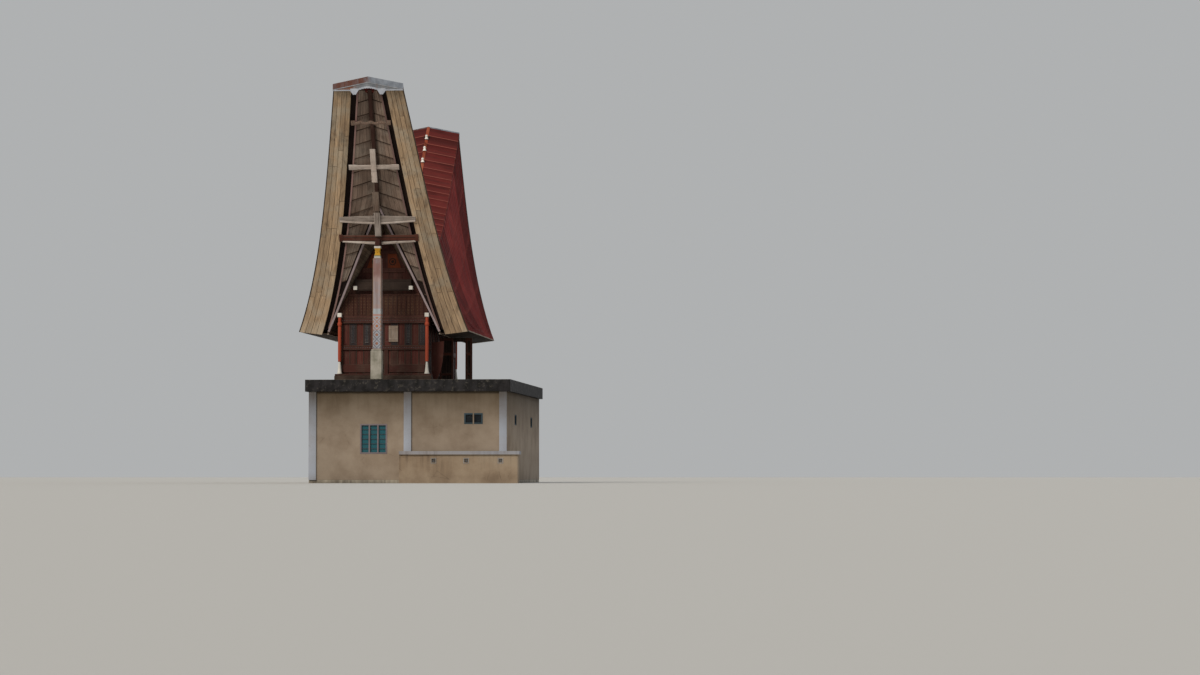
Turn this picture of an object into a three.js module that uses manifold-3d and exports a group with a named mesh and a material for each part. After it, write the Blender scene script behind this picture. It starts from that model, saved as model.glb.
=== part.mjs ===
// A tongkonan house: a boat-shaped roof with leaning boarded gables over a narrow timber body,
// standing on a concrete terrace slab over a rendered masonry base storey.
// Millimetres. X runs across the house, Y along it with the front at -Y, Z up.
// The origin lies on the house's axis, on the underside of the ground floor.
import * as THREE from 'three';
import { mergeVertices } from 'three/addons/utils/BufferGeometryUtils.js';
import Module from 'manifold-3d';

const wasm = await Module();
wasm.setup();

// Clearance between pieces that touch
const GAP = 0.3;
// How far a cutting solid runs on past the piece that it cuts
const PAST = 200;
// Corners of a mesh closer than this become one
const WELD = 1e-3;

// Base storey and terrace slab. The base reaches further right than left of the house's axis.
const BASE = { left: -2560, right: 4950, halfLength: 5950, wall: 150, floor: 120, top: 3450 };
const SLAB = { left: -2700, right: 5090, halfLength: 6050, top: 3900 };
const PILASTER = { width: 280, proud: 60 };
const PLINTH = { left: 970, right: 5430, front: 6600, top: 1070, ledgeTop: 1200, ledgeProud: 70 };
const VENT = { size: 130, depth: 160, height: 840, xs: [2270, 3500, 4790] };
const SMALL_WINDOW = { x: 3690, width: 700, bottom: 2220, top: 2630, lights: 2 };
const SIDE_WINDOW_YS = [-2900, 2900];
const WIDE_WINDOW = { x: -95, width: 1030, bottom: 1100, top: 2230, lights: 3 };
const FRAME = { bar: 55, depth: 70, proud: 10, glass: 8 };
const BASE_DOOR = { x: -805, width: 1000, height: 2150 };

// House body, with heights above the slab
const BODY = { halfWidth: 1700, front: 4100, wall: 120, wallTop: 2430, sideExtra: 300 };
const SILL = { height: 270, proud: 250, reach: 180, sideProud: 60 };
const FLOOR = { joist: 150, joistHalf: 100, board: 100, lap: 1 };
const MIDDLE_RAIL = { bottom: 1190, top: 1370, proud: 50 };
const UPPER_RAIL = { bottom: 2210, top: 2430, proud: 70 };
const FRONT_WINDOW = { x: 370, width: 320, bottom: 1520, top: 2100, lap: 20, shutter: 40 };
const SIDE_DOOR = { from: 900, to: 1800, top: 2000 };
const GABLE = { halfWidth: 2200, thickness: 100, tierTop: 3350, tierProud: 50 };
const TIE_BEAM = {
  halfWidth: 1090, bottom: 3460, top: 3890, proud: 240,
  endSize: 150, endX: 1070, endZ: 3560, endProud: 60,
};
const CORNER_POST = { x: 1685, y: 4262, sides: 16, lap: 10, top: 2440, cube: 165 };
// Radius and height of each ring, upwards
const CORNER_PROFILE = [
  [95, 270], [95, 320], [39, 690], [65, 750], [65, 2110], [87, 2170], [87, 2210], [60, 2260],
];
const SIDE_SCREEN = {
  y: 1150, right: 3050, thickness: 70, top: 1780, doorLeft: 2300, doorRight: 2780, doorTop: 1620,
};
const WING_BOARD = { y: 3560, thickness: 45, innerTop: 1490 };
// The wing board's curved outer edge, as X and height above the slab
const WING_EDGE = [[1950, GAP], [2100, 350], [2190, 750], [2230, 1150], [2250, 1550]];

// Free-standing post in front of each gable
const POST = {
  y: 5700, base: 420, baseShift: -20, baseTop: 1150, shaft: 330, shaftTop: 4600, top: 5060,
};
// The capital's outline, as distance past the shaft's face and height over the shaft's top
const CAPITAL = [
  [10, -10], [10, 90], [-20, 100], [-70, 240], [-25, 370], [-25, 380], [-10, 390], [-10, 460],
];

// Roof. f runs from 0 at the eave to 1 at the top of the leaning front edge,
// u from -1 at the front tip to 1 at the rear tip.
const ROOF = {
  eaveZ: 1935, tipZ: 10820, middleZ: 5200, bend: 3500,
  eaveHalfWidth: 3281, topHalfWidth: 1299,
  eaveHalfLength: 4200, tipHalfLength: 8150, leanPower: 1.25,
  shell: 110, strip: 80, stripRise: 270, stripLap: 15,
};
const FLARE = { straight: 0.75, curved: 0.25, power: 4 };
const BARGE = { thickness: 60, topWidth: 670, bottomExtra: 230, drop: 45, innerDrop: 110 };
// The boards between the bargeboards, and the ridge beam under them. Ends are values of f.
const SOFFIT = {
  side: 190, edge: 120, centre: 420, thickness: 50, start: 0.02, end: 0.995, leastWidth: 20, seam: 2,
};
const RIDGE = { half: 75, out: 250, lap: 20, start: 0.012, end: 0.99 };
// Inner boarding: the tent-shaped ceiling that opens as an inverted V in each gable
const TENT = {
  footX: 2150, footZ: 1830, middleTaper: 150, apexMiddle: 4750, apexEnd: 6550,
  out: 53, up: 28,
};
const EAVE = { thickness: 40, inner: 2130, footOuter: 2215, shellInner: 3165 };
const BEAM = { proud: 50, depth: 160 };
const CROSS_BEAMS = {
  top: { half: 750, bottom: 9455, top: 9625 },
  upper: { half: 950, bottom: 7860, top: 8050, post: 110, postBottom: 7400, postTop: 8600 },
  middle: { half: 1450, bottom: 5890, top: 6220, post: 130, postBottom: 5440, postTop: 7200 },
  lower: { half: 1520, bottom: 5230, top: 5530 },
};
const KING_PROUD = 190;
const HEAD_BLOCK = { half: 90, front: 5850, top: 5320 };
const CAP = { thickness: 55, halfWidth: 1320, bottom: 10650, rise: 20 };
// Half of the cap's scalloped lower edge, as X and height over the cap's bottom
const CAP_EDGE = [
  [1320, 0], [640, 0], [590, -80], [510, -100], [440, -70], [400, 0], [220, 90], [0, 30],
];
// The block over the inner boarding that trims the walls, and the one over the fold lines
const TRIM = { reach: 3000, stretch: 1.2, overFold: 670 };
const SIDE_END = BARGE.thickness + GAP;
const STEPS = { along: 20, up: 8, front: 12, soffit: 32, solve: 60 };

const COLOURS = {
  render: 0xcdbf93, plaster: 0xb9b4a4, concrete: 0x4c4842, paleConcrete: 0xa9a68f,
  redTimber: 0x5b231b, darkTimber: 0x38241c, greyTimber: 0x8b8175, paleTimber: 0xa99c84,
  boards: 0x6c6156, paint: 0x9a8a8c, orange: 0xb5401f, roof: 0x6d1f20, cap: 0xa9adb4,
  shutter: 0x867f70, frame: 0x3f6f78, glass: 0x1d2a2e, floor: 0x6b5a45,
};

// Solids

function toManifold(geometry) {
  const bare = geometry.clone();
  bare.deleteAttribute('normal');
  bare.deleteAttribute('uv');
  const merged = mergeVertices(bare, WELD);
  return new wasm.Manifold(new wasm.Mesh({
    numProp: 3,
    vertProperties: new Float32Array(merged.attributes.position.array),
    triVerts: new Uint32Array(merged.index.array),
  }));
}

function toGeometry(solid) {
  const mesh = solid.getMesh();
  const geometry = new THREE.BufferGeometry();
  geometry.setAttribute('position', new THREE.BufferAttribute(new Float32Array(mesh.vertProperties), 3));
  geometry.setIndex(new THREE.BufferAttribute(new Uint32Array(mesh.triVerts), 1));
  return geometry;
}

function box(x0, x1, y0, y1, z0, z1) {
  const geometry = new THREE.BoxGeometry(x1 - x0, y1 - y0, z1 - z0);
  geometry.translate((x0 + x1) / 2, (y0 + y1) / 2, (z0 + z1) / 2);
  return toManifold(geometry);
}

// A flat outline of [x, z] points, given a thickness from y0 to y1
function plate(outline, y0, y1) {
  const shape = new THREE.Shape(outline.map(([x, z]) => new THREE.Vector2(x, z)));
  const geometry = new THREE.ExtrudeGeometry(shape, { depth: y1 - y0, bevelEnabled: false });
  geometry.rotateX(Math.PI / 2);
  geometry.translate(0, y1, 0);
  return toManifold(geometry);
}

// A profile of [radius, z] points turned about a vertical axis at x, y
function turned(profile, x, y, sides, turn = 0) {
  const points = profile.map(([radius, z]) => new THREE.Vector2(radius, z));
  const geometry = new THREE.LatheGeometry(points, sides);
  geometry.rotateX(Math.PI / 2);
  geometry.rotateZ(turn);
  geometry.translate(x, y, 0);
  return toManifold(geometry);
}

// A closed sheet between two surfaces, each a function of a and b from 0 to 1
function sheet(columns, rows, outer, inner) {
  const across = columns + 1;
  const count = across * (rows + 1);
  const positions = [];
  for (const surface of [outer, inner]) {
    for (let j = 0; j <= rows; j += 1) {
      for (let i = 0; i <= columns; i += 1) {
        positions.push(...surface(i / columns, j / rows));
      }
    }
  }
  const index = [];
  const quad = (a, b, c, d) => index.push(a, b, c, a, c, d);
  for (let j = 0; j < rows; j += 1) {
    for (let i = 0; i < columns; i += 1) {
      const a = j * across + i;
      quad(a, a + 1, a + across + 1, a + across);
      quad(count + a, count + a + across, count + a + across + 1, count + a + 1);
    }
  }
  for (let i = 0; i < columns; i += 1) {
    const top = rows * across + i;
    quad(i, count + i, count + i + 1, i + 1);
    quad(top, top + 1, count + top + 1, count + top);
  }
  for (let j = 0; j < rows; j += 1) {
    const left = j * across;
    const right = left + columns;
    quad(left, left + across, count + left + across, count + left);
    quad(right, count + right, count + right + across, right + across);
  }
  if (signedVolume(positions, index) < 0) {
    for (let k = 0; k < index.length; k += 3) {
      [index[k + 1], index[k + 2]] = [index[k + 2], index[k + 1]];
    }
  }
  const geometry = new THREE.BufferGeometry();
  geometry.setAttribute('position', new THREE.Float32BufferAttribute(positions, 3));
  geometry.setIndex(index);
  return toManifold(geometry);
}

function signedVolume(positions, index) {
  const corner = (k) => new THREE.Vector3().fromArray(positions, 3 * index[k]);
  let sum = 0;
  for (let k = 0; k < index.length; k += 3) {
    sum += corner(k).dot(corner(k + 1).cross(corner(k + 2)));
  }
  return sum / 6;
}

function union(...solids) {
  return solids.reduce((whole, solid) => whole.add(solid));
}

// Nodes

const house = new THREE.Group();

function node(name, solid, colour, { roughness = 0.85, metalness = 0 } = {}) {
  const material = new THREE.MeshStandardMaterial({ color: colour, roughness, metalness });
  const mesh = new THREE.Mesh(toGeometry(solid), material);
  mesh.name = name;
  house.add(mesh);
}

// The same piece at the front and, turned half round, at the rear. A trim is cut from both.
function bothEnds(name, solid, colour, look = {}, trim = null) {
  const rear = solid.rotate([0, 0, 180]);
  node(`front_${name}`, trim ? solid.subtract(trim) : solid, colour, look);
  node(`rear_${name}`, trim ? rear.subtract(trim) : rear, colour, look);
}

const lift = (solid) => solid.translate([0, 0, SLAB.top]);
const mirrorX = (solid) => solid.mirror([1, 0, 0]);

// Roof form, with heights above the slab

function foldZ(y) {
  const reach = Math.hypot(ROOF.bend, ROOF.tipHalfLength) - ROOF.bend;
  const rise = (Math.hypot(ROOF.bend, y) - ROOF.bend) / reach;
  return ROOF.middleZ + (ROOF.tipZ - ROOF.middleZ) * rise;
}

function halfWidth(f) {
  const s = 1 - f;
  const flare = FLARE.straight * s + FLARE.curved * s ** FLARE.power;
  return ROOF.topHalfWidth + (ROOF.eaveHalfWidth - ROOF.topHalfWidth) * flare;
}

function frontReach(f) {
  const lean = Math.max(f, 0) ** ROOF.leanPower;
  return ROOF.eaveHalfLength + (ROOF.tipHalfLength - ROOF.eaveHalfLength) * lean;
}

const edgeZ = (f) => ROOF.eaveZ + f * (ROOF.tipZ - ROOF.eaveZ);
const edgeF = (z) => (z - ROOF.eaveZ) / (ROOF.tipZ - ROOF.eaveZ);
const bargeWidth = (f) => BARGE.topWidth + BARGE.bottomExtra * (1 - f);

// Where the front edge of the sides, behind the bargeboards, meets the underside of the top strip
function sideTopF() {
  let f = 1;
  for (let i = 0; i < STEPS.solve; i += 1) {
    f = edgeF(foldZ(frontReach(f) - SIDE_END));
  }
  return f;
}

const SIDE_TOP_F = sideTopF();

function roofSide(side) {
  const end = frontReach(SIDE_TOP_F) - SIDE_END;
  const surface = (inset) => (a, b) => {
    const u = 2 * a - 1;
    const f = b * SIDE_TOP_F;
    const z = ROOF.eaveZ + b * (foldZ(u * end) - ROOF.eaveZ);
    return [side * (halfWidth(f) - inset), u * (frontReach(f) - SIDE_END), z];
  };
  return sheet(STEPS.along, STEPS.front, surface(0), surface(ROOF.shell));
}

// The shallow strip over the ridge, from one height over the fold lines to another
function roofTop(low, high) {
  const end = frontReach(SIDE_TOP_F) - SIDE_END;
  const surface = (over) => (a, b) => {
    const step = a * (STEPS.along + 2) - 1;
    const y = step < 0 || step > STEPS.along
      ? Math.sign(step) * ROOF.tipHalfLength
      : (2 * step / STEPS.along - 1) * end;
    const across = 2 * b - 1;
    const rise = ROOF.stripRise * (1 - Math.abs(across));
    return [across * (ROOF.topHalfWidth + ROOF.stripLap), y, foldZ(y) + rise + over];
  };
  return sheet(STEPS.along + 2, 2, surface(high), surface(low));
}

function bargeboard(side, pad = 0) {
  const rows = STEPS.front + 1;
  const surface = (back) => (a, b) => {
    const step = Math.round(b * rows);
    const f = step < rows ? (step / STEPS.front) * SIDE_TOP_F : 1;
    const drop = (BARGE.drop + BARGE.innerDrop * a) * (1 - f) ** 3;
    const inner = a * (bargeWidth(f) + pad);
    const x = side * (halfWidth(f) + (1 - a) * pad - inner);
    return [x, -(frontReach(f) - back), edgeZ(f) - drop];
  };
  const board = sheet(1, rows, surface(-pad), surface(BARGE.thickness + pad));
  return board.subtract(roofTop(0, TRIM.overFold));
}

// Half-width of the inverted V opening at height z
function openingHalf(z) {
  return TENT.footX * (TENT.apexEnd - z) / (TENT.apexEnd - TENT.footZ);
}

function soffitOuter(f) {
  return halfWidth(f) - bargeWidth(f) - SOFFIT.side;
}

function soffitY(x, f) {
  const share = Math.min(Math.abs(x) / soffitOuter(f), 1);
  const recess = SOFFIT.centre + (SOFFIT.edge - SOFFIT.centre) * share;
  return -(frontReach(f) - recess);
}

function gableSoffit(pad = 0, withRidge = true) {
  const half = (side) => {
    const surface = (back) => (a, b) => {
      const f = SOFFIT.start + b * (SOFFIT.end - SOFFIT.start);
      const opening = Math.max(openingHalf(edgeZ(f)), 0) - pad;
      const outer = Math.max(soffitOuter(f), opening + SOFFIT.leastWidth) + pad;
      const inner = Math.max(opening, -SOFFIT.seam);
      const x = inner + a * (outer - inner);
      return [side * x, soffitY(x, f) + back, edgeZ(f)];
    };
    return sheet(2, STEPS.soffit, surface(-pad), surface(SOFFIT.thickness + pad));
  };
  const panel = half(1).add(half(-1));
  if (!withRidge) {
    return panel;
  }
  const start = edgeF(TENT.apexEnd) + RIDGE.start;
  const face = (placeY) => (a, b) => {
    const f = start + b * (RIDGE.end - start);
    return [(2 * a - 1) * RIDGE.half, placeY(f), edgeZ(f)];
  };
  const front = face((f) => RIDGE.out - frontReach(f));
  const back = face((f) => soffitY(RIDGE.half, f) + RIDGE.lap);
  return panel.add(sheet(1, STEPS.front, front, back));
}

// One slope of the inner boarding. With above it is the block over the boarding's underside
// instead, run on past both ends, which trims the walls that stand beneath it.
function tentSlope(side, above = false) {
  const stretch = above ? TRIM.stretch : 1;
  const surface = (outX, upZ, shift) => (a, b) => {
    const v = stretch * (2 * a - 1);
    const apex = TENT.apexMiddle + (TENT.apexEnd - TENT.apexMiddle) * v * v;
    const foot = TENT.footX - TENT.middleTaper * (1 - v * v);
    const z = apex + b * (TENT.footZ - apex);
    const endF = Math.max(edgeF(TENT.apexEnd + b * (TENT.footZ - TENT.apexEnd)), 0);
    const reach = Math.abs(soffitY(b * TENT.footX, endF)) - SOFFIT.thickness / 2;
    return [side * (shift + b * foot + outX(b)), v * reach, z + upZ];
  };
  if (above) {
    const under = surface(() => 0, -GAP, -2 * GAP);
    const over = surface((b) => b * TRIM.reach, TRIM.reach, -2 * GAP);
    return sheet(STEPS.along * TRIM.stretch, STEPS.up, under, over);
  }
  const upper = surface(() => TENT.out, TENT.up, GAP / 2);
  return sheet(STEPS.along, STEPS.up, surface(() => 0, 0, GAP / 2), upper);
}

// A bar that leans with the gable, between two heights and two widths
function leaningBar(x0, x1, z0, z1, proud, depth) {
  const surface = (back) => (a, b) => {
    const z = z0 + b * (z1 - z0);
    return [x0 + a * (x1 - x0), -(frontReach(edgeF(z)) + proud - back), z];
  };
  return sheet(1, 2, surface(0), surface(depth));
}

// Base storey

function windowHole(w, y0, y1) {
  return box(w.x - w.width / 2, w.x + w.width / 2, y0, y1, w.bottom, w.top);
}

function windowFrame(w) {
  const front = -BASE.halfLength - FRAME.proud;
  const back = front + FRAME.depth;
  const left = w.x - w.width / 2 + GAP;
  const right = w.x + w.width / 2 - GAP;
  let frame = box(left, right, front, back, w.bottom + GAP, w.top - GAP);
  const light = (right - left - (w.lights + 1) * FRAME.bar) / w.lights;
  for (let i = 0; i < w.lights; i += 1) {
    const x = left + FRAME.bar + i * (light + FRAME.bar);
    const hole = box(
      x, x + light, front - PAST, back + PAST, w.bottom + FRAME.bar, w.top - FRAME.bar,
    );
    frame = frame.subtract(hole);
  }
  return frame;
}

function windowGlass(w) {
  const front = -BASE.halfLength - FRAME.proud + FRAME.depth + GAP;
  const half = w.width / 2 - GAP;
  return box(w.x - half, w.x + half, front, front + FRAME.glass, w.bottom + GAP, w.top - GAP);
}

function pilasters(y0, y1, z0, z1) {
  const first = BASE.left + PILASTER.width / 2;
  const last = BASE.right - PILASTER.width / 2;
  return [first, (first + last) / 2, last].map(
    (x) => box(x - PILASTER.width / 2, x + PILASTER.width / 2, y0, y1, z0, z1),
  );
}

function baseStorey() {
  const { left, right, halfLength, wall, floor, top } = BASE;
  const z0 = floor + GAP;
  const z1 = top - GAP;
  node('ground_floor', box(left, right, -halfLength, halfLength, 0, floor), COLOURS.plaster);
  const front = union(
    box(left, right, -halfLength, -halfLength + wall, z0, z1),
    ...pilasters(-halfLength - PILASTER.proud, -halfLength + wall, z0, z1),
  );
  const cut = [-halfLength - PAST, -halfLength + wall + PAST];
  const holes = windowHole(SMALL_WINDOW, ...cut).add(windowHole(WIDE_WINDOW, ...cut));
  node('base_front_wall', front.subtract(holes), COLOURS.render);
  const rear = union(
    box(left, right, halfLength - wall, halfLength, z0, z1),
    ...pilasters(halfLength - wall, halfLength + PILASTER.proud, z0, z1),
  );
  const doorHalf = BASE_DOOR.width / 2;
  const door = box(
    BASE_DOOR.x - doorHalf, BASE_DOOR.x + doorHalf,
    halfLength - wall - PAST, halfLength + PAST, 0, BASE_DOOR.height,
  );
  node('base_rear_wall', rear.subtract(door), COLOURS.render);
  const inner = halfLength - wall - GAP;
  const sideHoles = SIDE_WINDOW_YS.map((y) => box(
    left - PAST, right + PAST, y - SMALL_WINDOW.width / 2, y + SMALL_WINDOW.width / 2,
    SMALL_WINDOW.bottom, SMALL_WINDOW.top,
  ));
  const pierced = (wallSolid) => sideHoles.reduce((solid, hole) => solid.subtract(hole), wallSolid);
  node('base_left_wall', pierced(box(left, left + wall, -inner, inner, z0, z1)), COLOURS.render);
  node('base_right_wall', pierced(box(right - wall, right, -inner, inner, z0, z1)), COLOURS.render);
  node('base_small_window', windowFrame(SMALL_WINDOW), COLOURS.frame);
  node('base_small_window_glass', windowGlass(SMALL_WINDOW), COLOURS.glass, { roughness: 0.2 });
  node('base_wide_window', windowFrame(WIDE_WINDOW), COLOURS.frame);
  node('base_wide_window_glass', windowGlass(WIDE_WINDOW), COLOURS.glass, { roughness: 0.2 });
}

function frontPlinth() {
  const back = -(BASE.halfLength + PILASTER.proud + GAP);
  const ledge = box(
    PLINTH.left, PLINTH.right + PLINTH.ledgeProud,
    -PLINTH.front - PLINTH.ledgeProud, back, PLINTH.top - GAP, PLINTH.ledgeTop,
  );
  let plinth = box(PLINTH.left, PLINTH.right, -PLINTH.front, back, 0, PLINTH.top).add(ledge);
  const half = VENT.size / 2;
  for (const x of VENT.xs) {
    const hole = box(
      x - half, x + half, -PLINTH.front - PAST, -PLINTH.front + VENT.depth,
      VENT.height - half, VENT.height + half,
    );
    plinth = plinth.subtract(hole);
  }
  node('front_plinth', plinth, COLOURS.render);
}

function terraceSlab() {
  const { left, right, halfLength, top } = SLAB;
  node('terrace_slab', box(left, right, -halfLength, halfLength, BASE.top, top), COLOURS.concrete);
}

// House body

function tentBlock() {
  return lift(tentSlope(1, true).add(tentSlope(-1, true)));
}

function bodyWalls(trim) {
  const { halfWidth: half, front, wall, wallTop } = BODY;
  const foot = SLAB.top + GAP;
  const z = SLAB.top;
  const inner = -front + wall;
  const rail = (r) => box(-half, half, -front - r.proud, inner, z + r.bottom, z + r.top);
  const plain = union(
    box(-half, half, -front, inner, foot, z + wallTop),
    box(-half - SILL.reach, half + SILL.reach, -front - SILL.proud, inner, foot, z + SILL.height),
    rail(MIDDLE_RAIL),
    rail(UPPER_RAIL),
  );
  const w = FRONT_WINDOW;
  const hole = box(
    w.x - w.width / 2, w.x + w.width / 2, -front - PAST, inner + PAST, z + w.bottom, z + w.top,
  );
  bothEnds('wall', plain.subtract(hole), COLOURS.redTimber, {}, trim);
  const lap = w.width / 2 + w.lap;
  const shutter = box(
    w.x - lap, w.x + lap, -front - w.shutter, -front - GAP, z + w.bottom - w.lap, z + w.top + w.lap,
  );
  bothEnds('shutter', shutter, COLOURS.shutter);

  const end = front - wall - GAP;
  const sideWall = (side, from, to, low, high, withSill) => {
    const x = [side * (half - wall), side * half].sort((p, q) => p - q);
    let solid = box(x[0], x[1], from, to, low, high);
    if (withSill) {
      const s = [side * (half - wall), side * (half + SILL.sideProud)].sort((p, q) => p - q);
      solid = solid.add(box(s[0], s[1], from, to, low, z + SILL.height));
    }
    return solid.subtract(trim);
  };
  const high = z + wallTop + BODY.sideExtra;
  node('left_wall', sideWall(-1, -end, end, foot, high, true), COLOURS.darkTimber);
  node('right_wall_front', sideWall(1, -end, SIDE_DOOR.from, foot, high, true), COLOURS.darkTimber);
  node('right_wall_rear', sideWall(1, SIDE_DOOR.to, end, foot, high, true), COLOURS.darkTimber);
  node(
    'right_wall_over_doorway',
    sideWall(1, SIDE_DOOR.from + GAP, SIDE_DOOR.to - GAP, z + SIDE_DOOR.top, high, false),
    COLOURS.darkTimber,
  );
}

function houseFloor() {
  const half = BODY.halfWidth - BODY.wall - GAP;
  const end = BODY.front - BODY.wall - GAP;
  const z = SLAB.top + GAP;
  const joistHalf = FLOOR.joistHalf;
  const joists = [-1, 0, 1].map((k) => k * (half - joistHalf)).map(
    (x) => box(x - joistHalf, x + joistHalf, -end, end, z, z + FLOOR.joist),
  );
  const under = z + FLOOR.joist - FLOOR.lap;
  const boards = box(-half, half, -end, end, under, z + FLOOR.joist + FLOOR.board);
  node('house_floor', union(boards, ...joists), COLOURS.floor);
}

function gables(trim) {
  const z = SLAB.top;
  const { front, wallTop } = BODY;
  const wide = GABLE.halfWidth;
  const wall = union(
    box(-wide, wide, -front, -front + GABLE.thickness, z + wallTop + GAP, z + TENT.apexEnd),
    box(
      -BODY.halfWidth, BODY.halfWidth, -front - GABLE.tierProud, -front + GABLE.thickness,
      z + wallTop + GAP, z + GABLE.tierTop,
    ),
  );
  bothEnds('gable_wall', wall, COLOURS.redTimber, {}, trim);
  const half = TIE_BEAM.endSize / 2;
  const ends = [-1, 1].map((side) => box(
    side * TIE_BEAM.endX - half, side * TIE_BEAM.endX + half,
    -front - TIE_BEAM.proud - TIE_BEAM.endProud, -front - GAP,
    z + TIE_BEAM.endZ - half, z + TIE_BEAM.endZ + half,
  ));
  const beam = union(
    box(
      -TIE_BEAM.halfWidth, TIE_BEAM.halfWidth, -front - TIE_BEAM.proud, -front - GAP,
      z + TIE_BEAM.bottom, z + TIE_BEAM.top,
    ),
    ...ends,
  );
  bothEnds('tie_beam', beam, COLOURS.darkTimber, {}, trim);
}

function cornerPosts() {
  const z = SLAB.top;
  const { top, cube, x, y, lap, sides } = CORNER_POST;
  const [foot, ...rings] = CORNER_PROFILE;
  const neck = CORNER_PROFILE.at(-1)[0];
  const start = foot[1] + GAP;
  const profile = [[0, start], [foot[0], start], ...rings, [neck, top + lap], [0, top + lap]];
  for (const side of [-1, 1]) {
    const shaft = turned(profile, side * x, -y, sides);
    const block = box(
      side * x - cube / 2, side * x + cube / 2, -y - cube / 2, -y + cube / 2, top, top + cube,
    );
    const solid = shaft.add(block).translate([0, 0, z]);
    bothEnds(side < 0 ? 'left_corner_post' : 'right_corner_post', solid, COLOURS.orange);
  }
}

function freePosts() {
  const z = SLAB.top;
  const b = POST.base / 2;
  const s = POST.shaft / 2;
  const base = box(
    POST.baseShift - b, POST.baseShift + b, -POST.y - b, -POST.y + b, z + GAP, z + POST.baseTop,
  );
  bothEnds('post_base', base, COLOURS.paleConcrete);
  const shaft = box(-s, s, -POST.y - s, -POST.y + s, z + POST.baseTop + GAP, z + POST.shaftTop);
  const rings = CAPITAL.map(([past, rise]) => [Math.SQRT2 * (s + past), POST.shaftTop + rise]);
  const profile = [[0, rings[0][1]], ...rings, [0, POST.top]];
  const capital = turned(profile, 0, 0, 4, Math.PI / 4).translate([0, -POST.y, z]);
  bothEnds('post', shaft.add(capital), COLOURS.paint);
}

function sideScreen() {
  const z = SLAB.top;
  const left = BODY.halfWidth + SILL.sideProud + GAP;
  const y0 = -SIDE_SCREEN.y - SIDE_SCREEN.thickness;
  const whole = box(left, SIDE_SCREEN.right, y0, -SIDE_SCREEN.y, z + GAP, z + SIDE_SCREEN.top);
  const door = box(
    SIDE_SCREEN.doorLeft, SIDE_SCREEN.doorRight, y0 - PAST, -SIDE_SCREEN.y + PAST,
    z - PAST, z + SIDE_SCREEN.doorTop,
  );
  node('side_screen', whole.subtract(door), COLOURS.darkTimber);
  const outline = [[left, GAP], ...WING_EDGE, [left, WING_BOARD.innerTop]];
  const wing = plate(outline, -WING_BOARD.y, -WING_BOARD.y + WING_BOARD.thickness);
  node('side_wing_board', lift(wing), COLOURS.redTimber);
}

// Roof and gable fronts

function eaveSoffit(side) {
  const end = ROOF.eaveHalfLength - BARGE.thickness - GAP;
  const foot = TENT.footZ - GAP;
  const eave = ROOF.eaveZ - GAP;
  const t = EAVE.thickness;
  const outline = [
    [EAVE.inner, foot - t], [EAVE.footOuter, foot - t], [EAVE.shellInner, eave - t],
    [ROOF.eaveHalfWidth, eave - t], [ROOF.eaveHalfWidth, eave], [EAVE.shellInner, eave],
    [EAVE.footOuter, foot], [EAVE.inner, foot],
  ];
  const right = plate(outline, -end, end);
  return side > 0 ? right : mirrorX(right);
}

function cap() {
  const peak = ROOF.tipZ + ROOF.strip + ROOF.stripRise + CAP.rise;
  const side = ROOF.tipZ + ROOF.strip + CAP.rise;
  const lower = CAP_EDGE.map(([x, over]) => [x, CAP.bottom + over]);
  const mirrored = lower.slice(0, -1).map(([x, z]) => [-x, z]).reverse();
  const outline = [
    ...lower, ...mirrored, [-CAP.halfWidth, side], [0, peak], [CAP.halfWidth, side],
  ];
  const y = -ROOF.tipHalfLength - GAP;
  return plate(outline, y - CAP.thickness, y);
}

function crossBeams() {
  const boards = union(bargeboard(1, GAP), bargeboard(-1, GAP), gableSoffit(GAP, false));
  const bar = (b, proud) => leaningBar(-b.half, b.half, b.bottom, b.top, proud, BEAM.depth + proud);
  const king = (b, back) => leaningBar(
    -b.post, b.post, b.postBottom, b.postTop, KING_PROUD, KING_PROUD - back,
  );
  const { top, upper, middle, lower } = CROSS_BEAMS;
  const look = { roughness: 0.9 };
  const notched = (b, proud) => bar(b, proud).subtract(boards);
  bothEnds('top_crossbeam', lift(notched(top, BEAM.proud)), COLOURS.greyTimber, look);
  const upperCross = notched(upper, 2 * BEAM.proud).add(king(upper, 0));
  bothEnds('upper_cross', lift(upperCross), COLOURS.paleTimber, look);
  const middleKing = king(middle, BEAM.proud + 2 * GAP);
  bothEnds('middle_cross', lift(notched(middle, 2 * BEAM.proud).add(middleKing)), COLOURS.greyTimber, look);
  const back = frontReach(edgeF(lower.bottom)) - BEAM.depth;
  const head = box(
    -HEAD_BLOCK.half, HEAD_BLOCK.half, -HEAD_BLOCK.front, -back, POST.top + GAP, HEAD_BLOCK.top,
  );
  bothEnds('lower_crossbeam', lift(notched(lower, BEAM.proud).add(head)), COLOURS.redTimber, look);
}

function roof() {
  const metal = { roughness: 0.6, metalness: 0.3 };
  node('roof_top', lift(roofTop(GAP, ROOF.strip)), COLOURS.roof, metal);
  for (const [name, side] of [['left', -1], ['right', 1]]) {
    node(`roof_${name}_side`, lift(roofSide(side)), COLOURS.roof, metal);
    node(`inner_roof_${name}`, lift(tentSlope(side).subtract(soffitCutter())), COLOURS.boards);
    node(`eave_soffit_${name}`, lift(eaveSoffit(side)), COLOURS.darkTimber);
    bothEnds(`bargeboard_${name}`, lift(bargeboard(side)), COLOURS.paleTimber);
  }
  bothEnds('gable_soffit', lift(gableSoffit().subtract(roofTop(0, TRIM.overFold))), COLOURS.boards);
  bothEnds('cap', lift(cap()), COLOURS.cap, { roughness: 0.5, metalness: 0.5 });
}

function soffitCutter() {
  const front = gableSoffit(GAP, false);
  return front.add(front.rotate([0, 0, 180]));
}

baseStorey();
frontPlinth();
terraceSlab();
const trim = tentBlock();
houseFloor();
bodyWalls(trim);
gables(trim);
cornerPosts();
freePosts();
sideScreen();
roof();
crossBeams();

export default house;
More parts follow.
